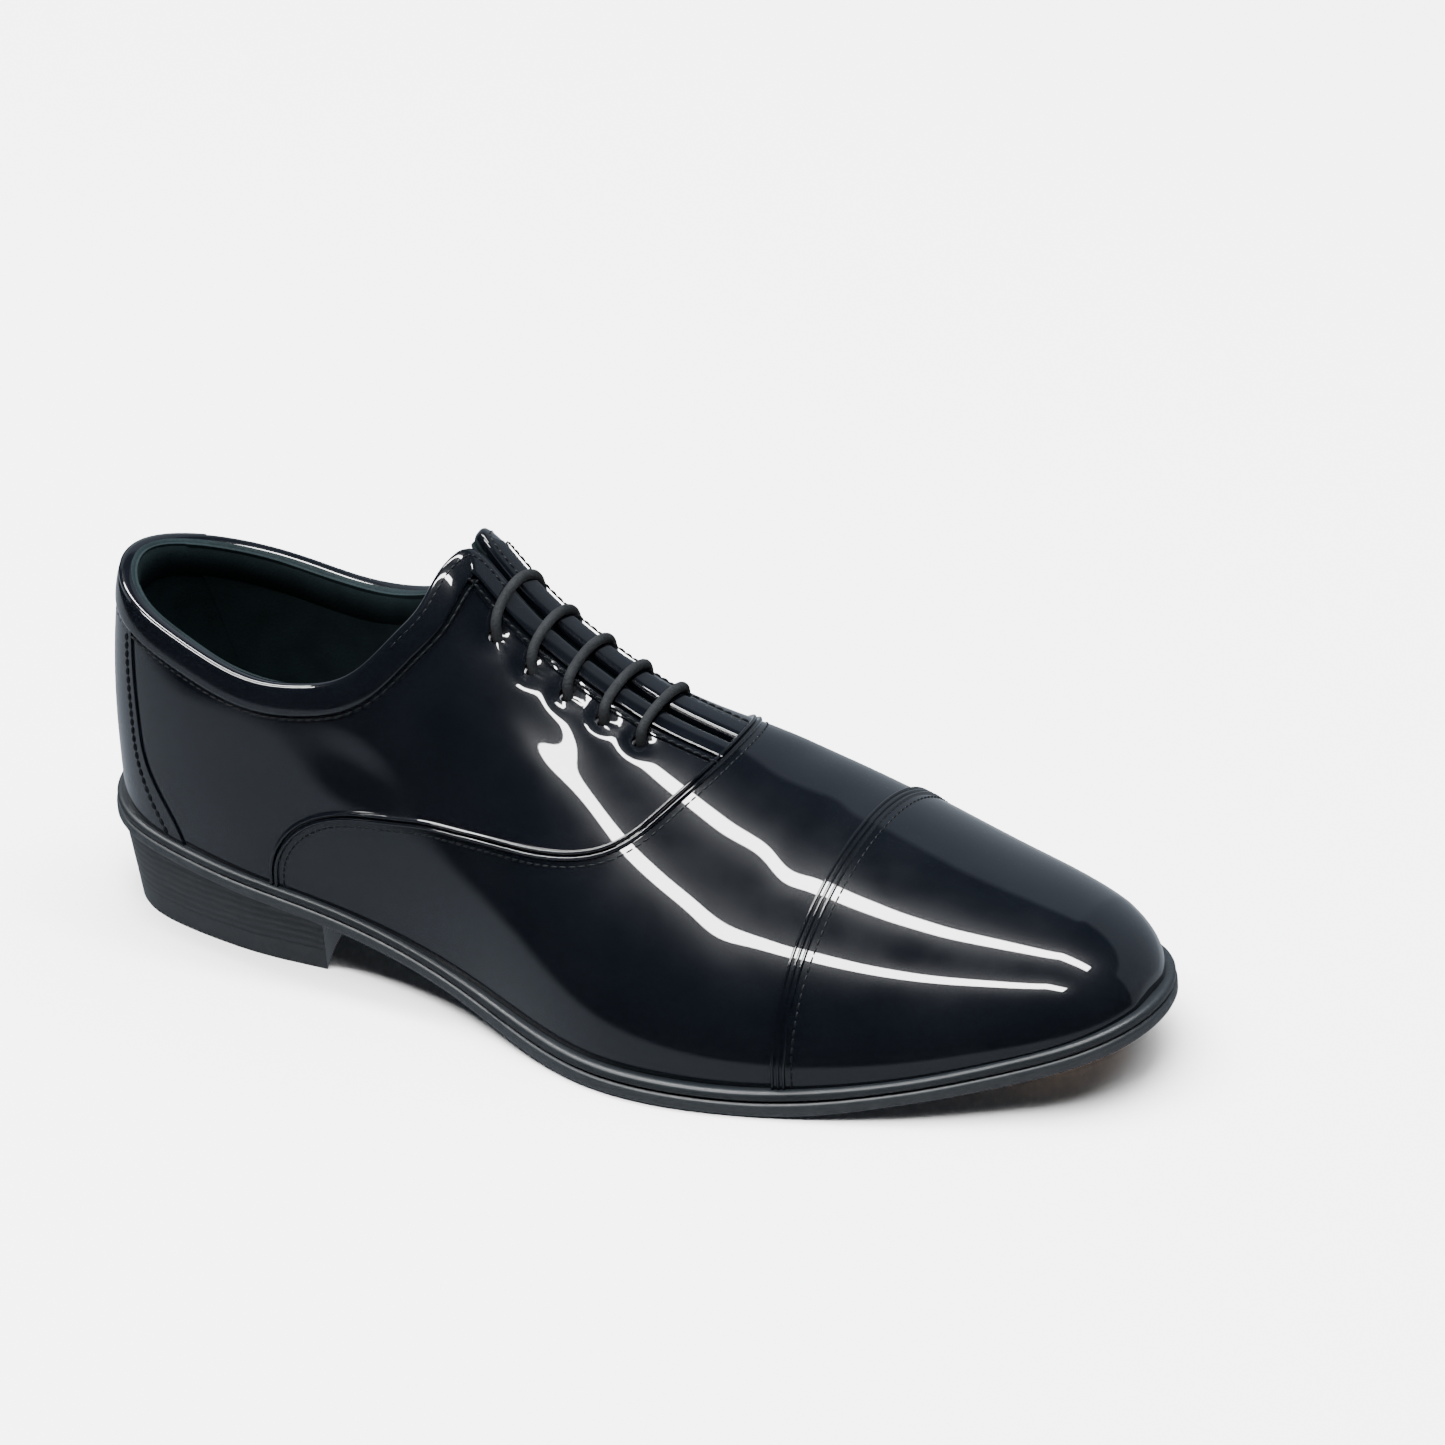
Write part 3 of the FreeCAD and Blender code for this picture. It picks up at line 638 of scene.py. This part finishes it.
def ribbed_rubber(name, first, second, rough):
    """Tread rubber: wavy ribs slanting across the forepart, smooth towards the waist."""
    material, nodes, links, shader, place = node_set(name, first, rough)
    turn = nodes.new("ShaderNodeMapping")
    turn.inputs["Rotation"].default_value = (0, 0, math.radians(16))
    links.new(place.outputs["Object"], turn.inputs["Vector"])
    ribs = nodes.new("ShaderNodeTexWave")
    ribs.inputs["Scale"].default_value = 105.0
    ribs.inputs["Distortion"].default_value = 2.4
    ribs.inputs["Detail"].default_value = 0.0
    ribs.inputs["Detail Scale"].default_value = 0.35
    links.new(turn.outputs["Vector"], ribs.inputs["Vector"])
    mask = nodes.new("ShaderNodeAttribute")
    mask.attribute_name = "ribs"
    masked = nodes.new("ShaderNodeMath")
    masked.operation = "MULTIPLY"
    links.new(ribs.outputs["Fac"], masked.inputs[0])
    links.new(mask.outputs["Fac"], masked.inputs[1])
    fleck = noise(nodes, links, place, 900.0, 4.0)
    grain = noise(nodes, links, place, 45.0, 6.0, (2, 14, 2))
    links.new(blend_colours(nodes, links, grain, first, second), shader.inputs["Base Color"])
    links.new(between(nodes, links, fleck, rough * 0.9, rough * 1.15), shader.inputs["Roughness"])
    under = bump_from(nodes, links, masked.outputs["Value"], 0.0012, 1.0)
    links.new(bump_from(nodes, links, fleck, 0.00008, 0.5, under), shader.inputs["Normal"])
    return material


def heel_rubber(name, first, second, rough):
    """The heel's walking face: fine ribs across its rear half, wood grain in front."""
    material, nodes, links, shader, place = node_set(name, first, rough)
    ribs = nodes.new("ShaderNodeTexWave")
    ribs.inputs["Scale"].default_value = 185.0
    links.new(place.outputs["Object"], ribs.inputs["Vector"])
    split = nodes.new("ShaderNodeSeparateXYZ")
    links.new(place.outputs["Object"], split.inputs["Vector"])
    height = ribs.outputs["Fac"]
    for axis, limit in (("X", -0.105), ("Z", 0.0006)):
        below = nodes.new("ShaderNodeMath")
        below.operation = "LESS_THAN"
        below.inputs[1].default_value = limit
        links.new(split.outputs[axis], below.inputs[0])
        masked = nodes.new("ShaderNodeMath")
        masked.operation = "MULTIPLY"
        links.new(height, masked.inputs[0])
        links.new(below.outputs["Value"], masked.inputs[1])
        height = masked.outputs["Value"]
    grain = noise(nodes, links, place, 45.0, 6.0, (14, 2, 14))
    links.new(blend_colours(nodes, links, grain, first, second), shader.inputs["Base Color"])
    under = bump_from(nodes, links, height, 0.0006, 0.9)
    links.new(bump_from(nodes, links, grain, 0.0001, 0.6, under), shader.inputs["Normal"])
    return material


PATENT = patent()
SOLE = ribbed_rubber("sole_rubber", (0.0065, 0.0085, 0.0105), (0.010, 0.013, 0.016), 0.46)
WELT = matt("welt_rubber", (0.0045, 0.006, 0.0075), (0.007, 0.009, 0.011),
            0.42, 700, 0.00006, shine=0.3)
STACK = wood_grain("stacked_heel", (0.0035, 0.0046, 0.0058), (0.011, 0.0135, 0.016), 0.5, 150.0)
LIFT = heel_rubber("heel_rubber", (0.005, 0.0065, 0.008), (0.008, 0.010, 0.012), 0.5)
LINING = matt("lining", (0.0025, 0.0055, 0.0065), (0.0045, 0.009, 0.0105),
              0.8, 1400, 0.00012, shine=0.12)
SOCK = matt("sock", (0.003, 0.0042, 0.005), (0.005, 0.0065, 0.0075), 0.7, 1100, 0.0001, shine=0.15)
BOARD = matt("fibre_board", (0.022, 0.019, 0.016), (0.034, 0.029, 0.024), 0.85, 500, 0.00015)
CORK = matt("cork", (0.10, 0.06, 0.035), (0.16, 0.10, 0.055), 0.9, 350, 0.0003)
STEEL = matt("steel", (0.45, 0.46, 0.48), (0.55, 0.56, 0.58), 0.35, 300, 0.00005, (1, 8, 1), 1.0)
COTTON = matt("lace_cotton", (0.0045, 0.0052, 0.006), (0.009, 0.0102, 0.0115),
              0.8, 1300, 0.0005, shine=0.12)
TIP = matt("lace_tip", (0.012, 0.013, 0.015), (0.02, 0.02, 0.022), 0.25, 500, 0.00004)
THREAD = matt("thread", (0.002, 0.0025, 0.0032), (0.004, 0.005, 0.006),
              0.4, 2500, 0.0001, shine=0.1)


def dress(obj, material):
    obj.data.materials.clear()
    obj.data.materials.append(material)


CARRIED = {
    "insole_board_rear": BOARD, "insole_board_fore": BOARD, "cork_filler_rear": CORK,
    "cork_filler_fore": CORK, "shank": STEEL, "heel_nails": STEEL, "heel_block": STACK,
    "heel_top_piece": LIFT, "facing_stay_outer": BOARD, "facing_stay_inner": BOARD,
    "blind_eyelets_outer": STEEL, "blind_eyelets_inner": STEEL, "heel_counter": BOARD,
    "toe_puff": BOARD, "lace_tips": TIP,
}
for name, material in CARRIED.items():
    dress(frame["nodes"][name], material)
dress(lace, COTTON)
print("dressed", len(CARRIED), "carried pieces")

# %% [markdown]
# ## Seams of the upper
# The seams are drawn as they look from the side. The vamp's rear edge climbs from the waist
# and runs forward, then turns up round the throat. The topline dips below the ankle and
# climbs to the top of the facings.

# %% Seam lines
CAP_SEAM_X = 67.0
FACING_GAP = 1.5
SEAM = [(-87.5, 20), (-87, 29), (-82, 38.5), (-69, 46.5), (-50, 49.5), (-20, 51.5), (2, 52.5),
        (14, 55.0), (23.5, 61.5)]
THROAT = (28.5, 90.0)
TOPLINE = smooth([(-156, 98), (-146, 93.0), (-130, 87.5), (-110, 82.5), (-92, 79.0),
                  (-76, 80.0), (-62, 86.0), (-52, 96.5), (-43, 109.5), (-38.5, 122.0)])
STRIP = smooth([(18, -117), (26, -120), (40, -128), (55, -131), (72, -133), (104, -137)])


def topline_point(x):
    return side_point(x, TOPLINE(x))


seam_side = [side_point(x, z) for x, z in SEAM]
seam_ring = seam_side + [THROAT] + other_side(reversed(seam_side))
cap_girths = [0, 4, 9, 16, 26, 38, 52, 64, 77]
cap_side = [(CAP_SEAM_X, g) for g in cap_girths]
cap_ring = cap_side + [(CAP_SEAM_X, 90.0)] + other_side(reversed(cap_side))
vamp_seam = path_through(seam_ring)
print("vamp seam stations:", len(seam_ring))

# %% [markdown]
# ## Vamp
# One panel from the vamp seam to the toe cap, wrapped over the ball from welt to welt. It is
# the piece that bends when the toe lifts; here it is laid unbent, in one piece over both
# halves of the shoe.

# %% Vamp
FLEX = frame["record"]["behaviour"]["joints"][0]["pos_m"]
FLEX_X = FLEX[0] / MM


def bend_with_toe(obj):
    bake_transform(obj)


vamp = panel("vamp", seam_ring, cap_ring, 190, 70, 0.0)
thicken(vamp, LEATHER)
dress(vamp, PATENT)
shade(vamp, 60)
bend_with_toe(vamp)
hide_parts("vamp_rear", "vamp_fore", "vamp_crease")

vamp_lining = panel("vamp_lining", seam_ring, cap_ring, 80, 30, LINING_LIFT)
thicken(vamp_lining, CLOTH)
dress(vamp_lining, LINING)
shade(vamp_lining)
bend_with_toe(vamp_lining)
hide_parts("vamp_lining_rear", "vamp_lining_fore", "vamp_lining_crease")
print("vamp faces", len(vamp.data.polygons))

# %% [markdown]
# ## Toe cap
# The cap is laid the same way, from its seam to the tip of the last. All the rows meet at
# the tip, where the leather is gathered under the welt.

# %% Toe cap


def cap_place(u, v):
    start = turn_of(CAP_SEAM_X - 1.5)
    return skin(station(start + (math.pi - start) * u), 180.0 * v, 0.75 * min(1.0, (1 - u) * 9))


toe_cap = lay("cap_leather", 90, 130, cap_place)
weld(toe_cap)
thicken(toe_cap, LEATHER, flip=False)
dress(toe_cap, PATENT)
shade(toe_cap, 60)
belongs(toe_cap, "toe", "patent_leather", "toe_cap")
print("toe cap faces", len(toe_cap.data.polygons))

# %% [markdown]
# ## Quarters
# The two sides of the shoe meet over the instep with a narrow gap. Each is cut between two
# matched lines: the welt and the vamp seam below, the topline and the facing's edge above.
# The eyelet holes are cut out of the grid and rounded before the leather gets its thickness.

# %% Quarters
strip_low = (-126.0, 0.0)
strip_high = (-139.5, girth_at(-139.5, TOPLINE(-139.5)))
lower_edge = [strip_low, (-106, 0.0), (-97, 0.0), (-88.5, 0.0), side_point(-87.2, 29),
              side_point(-82, 38.5), side_point(-69, 46.5), side_point(-50, 49.5),
              side_point(-35, 50.6), side_point(-20, 51.5), side_point(-9, 52.0),
              side_point(2, 52.5), side_point(14, 55.0), side_point(21, 59.0),
              side_point(25.2, 63.8), (27.8, 76.0)]
upper_edge = [strip_high, topline_point(-127), topline_point(-114), topline_point(-100),
              topline_point(-88), topline_point(-76), topline_point(-64), topline_point(-55),
              topline_point(-48), beside(-42.6, 8.0), beside(-40.2, 2.6),
              beside(-24.0, FACING_GAP), beside(-6.0, FACING_GAP), beside(9.0, FACING_GAP),
              beside(19.0, FACING_GAP), beside(28.3, FACING_GAP)]


def punch_eyelets(obj, side):
    """Cut each eyelet's hole out of the laid panel and draw its edge round."""
    for pair in range(EYELETS):
        x, girth = eyelet_spot(side, pair)
        centre = skin(x, girth) * MM
        out = on_last(x, girth)[1]
        alone(obj)
        bpy.ops.object.mode_set(mode="EDIT")
        bpy.ops.mesh.select_all(action="DESELECT")
        bpy.ops.object.mode_set(mode="OBJECT")
        for vertex in obj.data.vertices:
            vertex.select = (vertex.co - centre).length < HOLE_R * MM
        bpy.ops.object.mode_set(mode="EDIT")
        bpy.ops.mesh.select_mode(type="VERT")
        bpy.ops.mesh.delete(type="VERT")
        bpy.ops.object.mode_set(mode="OBJECT")
        rim = open_edge_vertices(obj)
        for index in rim:
            vertex = obj.data.vertices[index]
            away = vertex.co - centre
            if away.length < (HOLE_R + 2.2) * MM:
                flat = away - out * away.dot(out)
                vertex.co = centre + flat.normalized() * HOLE_R * MM + out * away.dot(out)


def open_edge_vertices(obj):
    """Vertices on edges that only one face uses."""
    used = {}
    for face in obj.data.polygons:
        for key in face.edge_keys:
            used[key] = used.get(key, 0) + 1
    return {v for key, count in used.items() if count == 1 for v in key}


for side in ("outer", "inner"):
    mirrored = side == "inner"
    quarter = panel(f"side_leather_{side}", lower_edge, upper_edge, 170, 60, 0.0, mirrored)
    punch_eyelets(quarter, side)
    thicken(quarter, LEATHER, mirrored)
    dress(quarter, PATENT)
    shade(quarter, 50)
    belongs(quarter, "shoe", "patent_leather", f"quarter_{side}")
    inside = panel(f"side_lining_{side}", lower_edge, upper_edge, 90, 34, LINING_LIFT, mirrored)
    thicken(inside, CLOTH, mirrored)
    dress(inside, LINING)
    shade(inside)
    belongs(inside, "shoe", "lining_cloth", f"quarter_lining_{side}")
    print(side, "quarter faces", len(quarter.data.polygons))

# %% [markdown]
# ## Back strip and heel lining
# A strip wraps round the back of the heel and covers the quarters' rear edges.

# %% Back of the shoe


def back_panel(name, columns, rows, lift, spare):
    """A panel round the heel from seam to seam, from the welt to the topline."""

    def place(u, v):
        level = 20.0 + 72.0 * v
        reach = turn_of(STRIP(level) + spare)
        across = 2.0 * u - 1.0
        x = station(reach * abs(across))
        low = feather(x) + FOOT_GAP
        z = low + (TOPLINE(x) - low) * v
        girth = girth_at(x, z)
        return skin(x, girth if across < 0 else 180.0 - girth, lift)

    return lay(name, columns, rows, place)


back_strip = back_panel("back_leather", 70, 60, 0.55, 1.2)
thicken(back_strip, 1.0)
dress(back_strip, PATENT)
shade(back_strip, 50)
belongs(back_strip, "shoe", "patent_leather", "back_strip")
heel_lining = back_panel("heel_cloth", 40, 30, -3.4, 0.0)
thicken(heel_lining, CLOTH)
dress(heel_lining, LINING)
shade(heel_lining)
belongs(heel_lining, "shoe", "lining_cloth", "heel_lining")
print("back strip faces", len(back_strip.data.polygons))

# %% [markdown]
# ## Collar
# A band of the same leather is folded over the topline and turned inside, over a thin roll
# of foam. One profile runs up a facing, along the whole topline and down the other facing:
# a padded fold round the ankle, and a flat bound edge along the facings.

# %% Collar
COLLAR_PIECES = 400
COLLAR_ROWS = 30
CLOTH_FROM_ROW = 17        # inside the shoe the fold is faced with lining cloth
collar_half = [beside(x, 1.9) for x in (27.6, 20.0, 10.0, -2.0, -14.0, -25.0)]
collar_half += [beside(-34.0, 1.9), beside(-38.6, 2.5), beside(-41.4, 4.6), beside(-43.0, 8.2),
                beside(-44.6, 12.6)]
collar_half += [topline_point(x) for x in (-48, -52, -57, -63, -70, -78, -88, -98, -108, -118,
                                           -127, -134, -139.5, -143.5, -145.8)]
collar_half += [topline_point(UPPER_BACK)]
signed = [(-turn_of(x), g) for x, g in collar_half]
signed += [(-t, g) for t, g in reversed(signed[:-1])]
marks = [0.0]
for (t0, g0), (t1, g1) in zip(signed, signed[1:]):
    a = last_point(station(abs(t0)), g0 if t0 < 0 else 180.0 - g0)
    b = last_point(station(abs(t1)), g1 if t1 < 0 else 180.0 - g1)
    marks.append(marks[-1] + (b - a).length)
COLLAR_LENGTH = marks[-1]
collar_turn = smooth([(m / COLLAR_LENGTH, t) for m, (t, _) in zip(marks, signed)])
collar_girth = smooth([(m / COLLAR_LENGTH, g) for m, (_, g) in zip(marks, signed)])


def collar_line(s):
    """Along the topline from the outer facing, round the heel, to the inner facing."""
    turn = collar_turn(s)
    girth = collar_girth(s)
    return station(abs(turn)), (girth if turn < 0 else 180.0 - girth)


def through(points):
    """A smooth profile through (across, height) points, with v from 0 to 1."""
    count = len(points) - 1
    side_of = smooth([(i / count, p[0]) for i, p in enumerate(points)])
    height_of = smooth([(i / count, p[1]) for i, p in enumerate(points)])
    return lambda v: (side_of(v), height_of(v))


FOLD = through([(7.4, 0.1), (7.2, 0.6), (5.2, 0.85), (2.6, 0.85), (0.6, 0.55), (-0.4, -0.3),
                (-0.6, -1.5), (-0.4, -2.8), (0.4, -4.0), (2.2, -4.9), (5.0, -5.3),
                (8.5, -5.0), (12.0, -4.4)])
THIN_FOLD = through([(6.6, 0.1), (6.4, 0.5), (4.6, 0.7), (2.4, 0.75), (0.5, 0.55), (-0.3, 0.0),
                     (-0.5, -0.9), (-0.4, -2.0), (0.0, -3.0), (0.9, -4.0), (2.2, -4.5),
                     (3.8, -4.5), (5.5, -4.4)])


def collar_profile(v, u):
    """The thin fold of the facings, swelling to the padded one round the ankle."""
    from_end = min(u, 1.0 - u) * COLLAR_LENGTH
    full = along(from_end, 76.0, 106.0)
    full = full * full * (3.0 - 2.0 * full)
    wide = FOLD(v)
    thin = THIN_FOLD(v)
    return thin[0] + (wide[0] - thin[0]) * full, thin[1] + (wide[1] - thin[1]) * full


collar = ribbon("collar", collar_line, collar_profile, COLLAR_PIECES, COLLAR_ROWS)
in_edit(collar, bpy.ops.mesh.flip_normals)
dress(collar, PATENT)
collar.data.materials.append(LINING)
for face in collar.data.polygons:
    face.material_index = 1 if face.index // COLLAR_PIECES >= CLOTH_FROM_ROW else 0
shade(collar, 60)
belongs(collar, "shoe", "patent_leather", "collar_band", "collar_foam")
print("collar length", round(COLLAR_LENGTH), "mm")

# %% [markdown]
# ## Bindings
# A raised double piping follows the vamp's edge, and a band of three fine ridges covers the
# joint of the toe cap. Each is a profile of round ridges swept along the seam, with its
# edges sunk into the leather.

# %% Bindings


def ridges(count, width, height):
    """Side-by-side round ridges."""

    def profile(v, u):
        swell = abs(math.sin(math.pi * count * v)) ** 0.6
        return (v - 0.5) * width, -0.3 + (height + 0.3) * swell

    return profile


def cap_line(s):
    return CAP_SEAM_X, 180.0 * s


vamp_piping = ribbon("vamp_piping", vamp_seam, ridges(2, 3.0, 0.95), 420, 20)
dress(vamp_piping, PATENT)
shade(vamp_piping, 70)
belongs(vamp_piping, "shoe", "patent_leather", "vamp_binding")
cap_band = ribbon("cap_band", cap_line, ridges(3, 4.4, 1.25), 200, 27)
dress(cap_band, PATENT)
shade(cap_band, 70)
belongs(cap_band, "toe", "patent_leather", "cap_binding")
print("bindings:", len(vamp_piping.data.polygons), len(cap_band.data.polygons), "faces")

# %% [markdown]
# ## Stitches
# A thread is a thin half-round ribbon whose height rises and dips once for every stitch, so
# it reads as a row of separate stitches pulled down into the leather.

# %% Stitches
STITCH = 2.3          # length of one stitch
THREAD_R = 0.3        # half the width of a thread


def line_length(line):
    places = [skin(*line(i / 80)) for i in range(81)]
    return sum((b - a).length for a, b in zip(places, places[1:]))


def stitches(name, line, across, body, lift=0.0):
    """A row of stitches beside a line, the given distance across from it."""
    count = round(line_length(line) / STITCH)

    def profile(v, u):
        angle = math.pi * (1.0 - v)
        hump = abs(math.sin(math.pi * count * u)) ** 0.5
        height = lift - 0.3 + (0.3 + THREAD_R) * hump * math.sin(angle)
        return across + THREAD_R * math.cos(angle), height

    row = ribbon(name, line, profile, count * 6, 6)
    dress(row, THREAD)
    shade(row, 70)
    belongs(row, body, "patent_leather")
    return count


def brow_line(start):
    """The stretch of the collar line that turns from the facing's top to the topline."""
    return lambda s: collar_line(start + 0.11 * s)


made = stitches("vamp_stitches", vamp_seam, -2.9, "shoe")
made += stitches("cap_stitches", cap_line, -3.5, "toe", 0.75)
made += stitches("collar_stitches", collar_line, 8.6, "shoe")
for side, brow_start in (("outer", 0.15), ("inner", 0.74)):
    made += stitches(f"brow_stitches_{side}", brow_line(brow_start), 1.8, "shoe", 0.75)
    points = [(STRIP(z) - 0.9, girth_at(STRIP(z) - 0.9, z)) for z in (28, 36, 46, 58, 70, 80)]
    points = points if side == "outer" else other_side(points)
    made += stitches(f"strip_stitches_{side}", path_through(points), 0.0, "shoe", 0.8)
print("stitches:", made)

# %% [markdown]
# ## Tongue
# It lies under the facings, and its rounded top fills the gap between their tops.

# %% Tongue


def tongue_panel(name, lift, spare, columns, rows):
    def place(u, v):
        x = 22.0 - 62.0 * u
        half_width = 15.0 + 6.0 * u - spare
        if u > 0.80:
            half_width *= math.sqrt(max(0.0, 1.0 - ((u - 0.80) / 0.206) ** 2.6))
        low = off_ridge(x, half_width)
        point, out = on_last(x, low + (180.0 - 2.0 * low) * v)
        rise = 2.0 * along(u, 0.78, 1.0) ** 2
        return point + out * (lift + rise)

    return lay(name, columns, rows, place)


tongue = tongue_panel("tongue_leather", -8.6, 0.0, 80, 30)
thicken(tongue, 1.5)
tongue_back = tongue_panel("tongue_back", -10.35, 1.2, 50, 20)
thicken(tongue_back, CLOTH)
for piece, material, node, slot in ((tongue, PATENT, "tongue", "patent_leather"),
                                    (tongue_back, LINING, "tongue_lining", "lining_cloth")):
    dress(piece, material)
    shade(piece, 60)
    belongs(piece, "tongue_flap", slot, node)
print("tongue faces", len(tongue.data.polygons))

# %% [markdown]
# ## Sole
# The outsole, the welt and the sock liner are closed rings: a section swept all round the
# shoe's outline, closing on the middle line.

# %% Sole
WELT_SHARE = 0.4


def welt_base(x):
    """Height of the line between the outsole and the welt."""
    return feather(x) - WELT_SHARE * (feather(x) - sole_bottom(x))


def ring_piece(name, section, columns):
    """Sweeps section(x), a list of (margin, height), round the outline of the sole."""
    rows = len(section(0.0)) - 1

    def place(u, v):
        turn = 2.0 * math.pi * u
        x = HEEL_X + (TOE_X - HEEL_X) * (1.0 - math.cos(turn)) / 2.0
        margin, height = section(x)[round(v * rows)]
        stretched = HEEL_X - margin + (TOE_X - HEEL_X + 2.0 * margin) * (x - HEEL_X) / (TOE_X - HEEL_X)
        half = sole_outer(x) if u < 0.5 else -sole_inner(x)
        return Vector((stretched, axis(x) - half * (1.0 + margin / 45.0), height))

    ring = lay(name, columns, rows, place)
    weld(ring)
    return ring


def outsole_section(x):
    low = sole_bottom(x)
    high = welt_base(x) - 0.05
    inner = [-45, -36, -27, -19, -13, -8.5, -7.0, -4.0, -1.4]
    section = [(m, low) for m in inner]
    section += [(-0.35, low + 0.35), (0.0, low + 1.0), (0.0, (low + high) / 2.0), (0.0, high - 0.8),
                (-0.25, high - 0.3), (-0.9, high)]
    section += [(m, high) for m in (-8.0, -25.0, -45.0)]
    return section


def welt_section(x):
    low = welt_base(x)
    high = feather(x)
    return [(-8.0, low), (-1.6, low), (-0.7, low + 0.2), (-0.35, low + 0.7), (-0.35, high - 0.7),
            (-0.6, high - 0.2), (-1.2, high + 0.1), (-1.8, high), (-4.4, high - 0.1),
            (-8.0, high - 0.1), (-8.0, low)]


def sock_section(x):
    low = feather(x)
    return [(-45.0, low + 1.6), (-33.0, low + 1.6), (-22.0, low + 1.6), (-13.0, low + 1.6),
            (-11.0, low + 1.4), (-10.7, low + 0.8), (-11.0, low + 0.05), (-45.0, low + 0.05)]


outsole = ring_piece("outsole", outsole_section, 300)
welt = ring_piece("welt", welt_section, 300)
sock = ring_piece("sock_liner", sock_section, 160)
ribs = outsole.data.attributes.new("ribs", "FLOAT", "POINT")
for vertex, mark in zip(outsole.data.vertices, ribs.data):
    x, y, z = vertex.co / MM
    level = sole_bottom(x)
    rear = 4.0 - 0.006 * (y - 6.0) ** 2
    half = sole_outer(x) if y < axis(x) else sole_inner(x)
    room = half - abs(y - axis(x))
    mark.value = 1.0 if x > rear and room > 5.5 and z < level + 0.4 and x < TOE_X - 6 else 0.0
for piece, material, nodes, slot in (
        (outsole, SOLE, ("outsole_rear", "outsole_fore"), "sole_rubber"),
        (welt, WELT, ("welt_rear", "welt_fore"), "welt_rubber"),
        (sock, SOCK, ("sock_liner_rear", "sock_liner_fore"), "lining_cloth")):
    in_edit(piece, lambda: bpy.ops.mesh.normals_make_consistent(inside=False))
    dress(piece, material)
    shade(piece, 40)
    bend_with_toe(piece)
    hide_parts(*nodes)
print("sole faces", len(outsole.data.polygons), len(welt.data.polygons))

# %% [markdown]
# ## Ground and light
# A plain pale ground, one broad soft light from above for the gentle shadow, and two long
# panels of light that show as streaks in the patent leather.

# %% Ground and light
bpy.ops.mesh.primitive_plane_add(size=24)
floor = bpy.context.object
floor.name = "floor"
dress(floor, matt("floor", (0.82, 0.82, 0.82), (0.83, 0.83, 0.83), 0.95, 3, 0.0))
floor.visible_glossy = False


def light_panel(name, where, size, power, glossy, aim=(0, 0, 0.05)):
    """A rectangle of light at a place, facing the shoe."""
    bpy.ops.object.light_add(type="AREA", location=where)
    lamp = bpy.context.object
    lamp.name = name
    lamp.data.shape = "RECTANGLE"
    lamp.data.size, lamp.data.size_y = size
    lamp.data.energy = power
    lamp.rotation_euler = (Vector(aim) - Vector(where)).to_track_quat("-Z", "Y").to_euler()
    lamp.visible_glossy = glossy
    return lamp


light_panel("broad_light", (0.2, 0.4, 3.2), (4.5, 4.5), 460, False)
light_panel("long_light_a", (-0.55, 0.42, 2.3), (3.0, 0.24), 190, True, (-0.55, 0.42, 0.0))
light_panel("long_light_b", (-0.55, -0.85, 2.3), (3.0, 0.24), 190, True, (-0.55, -0.85, 0.0))
world = bpy.data.worlds.new("studio")
bpy.context.scene.world = world
world.use_nodes = True


def room_light(world):
    """A dim room: grey ground all round, a grey wall beyond the inner side, dark above."""
    nodes = world.node_tree.nodes
    links = world.node_tree.links
    direction = nodes.new("ShaderNodeTexCoord")
    split = nodes.new("ShaderNodeSeparateXYZ")
    links.new(direction.outputs["Generated"], split.inputs["Vector"])

    def fade(axis, start, end, low, high):
        ramp = nodes.new("ShaderNodeMapRange")
        for socket, value in (("From Min", start), ("From Max", end), ("To Min", low),
                              ("To Max", high)):
            ramp.inputs[socket].default_value = value
        links.new(split.outputs[axis], ramp.inputs["Value"])
        return ramp.outputs["Result"]

    ground = fade("Z", -0.26, -0.20, 1.0, 0.0)
    far = fade("Y", 0.30, 0.36, 0.0, 0.75)
    below_top = fade("Z", 0.68, 0.72, 1.0, 0.0)
    wall = nodes.new("ShaderNodeMath")
    wall.operation = "MULTIPLY"
    links.new(far, wall.inputs[0])
    links.new(below_top, wall.inputs[1])
    most = nodes.new("ShaderNodeMath")
    most.operation = "MAXIMUM"
    links.new(ground, most.inputs[0])
    links.new(wall.outputs["Value"], most.inputs[1])
    mix = nodes.new("ShaderNodeMix")
    mix.data_type = "RGBA"
    mix.inputs["A"].default_value = (0.018, 0.020, 0.026, 1.0)
    mix.inputs["B"].default_value = (0.46, 0.51, 0.58, 1.0)
    links.new(most.outputs["Value"], mix.inputs["Factor"])
    links.new(mix.outputs["Result"], nodes["Background"].inputs["Color"])


room_light(world)
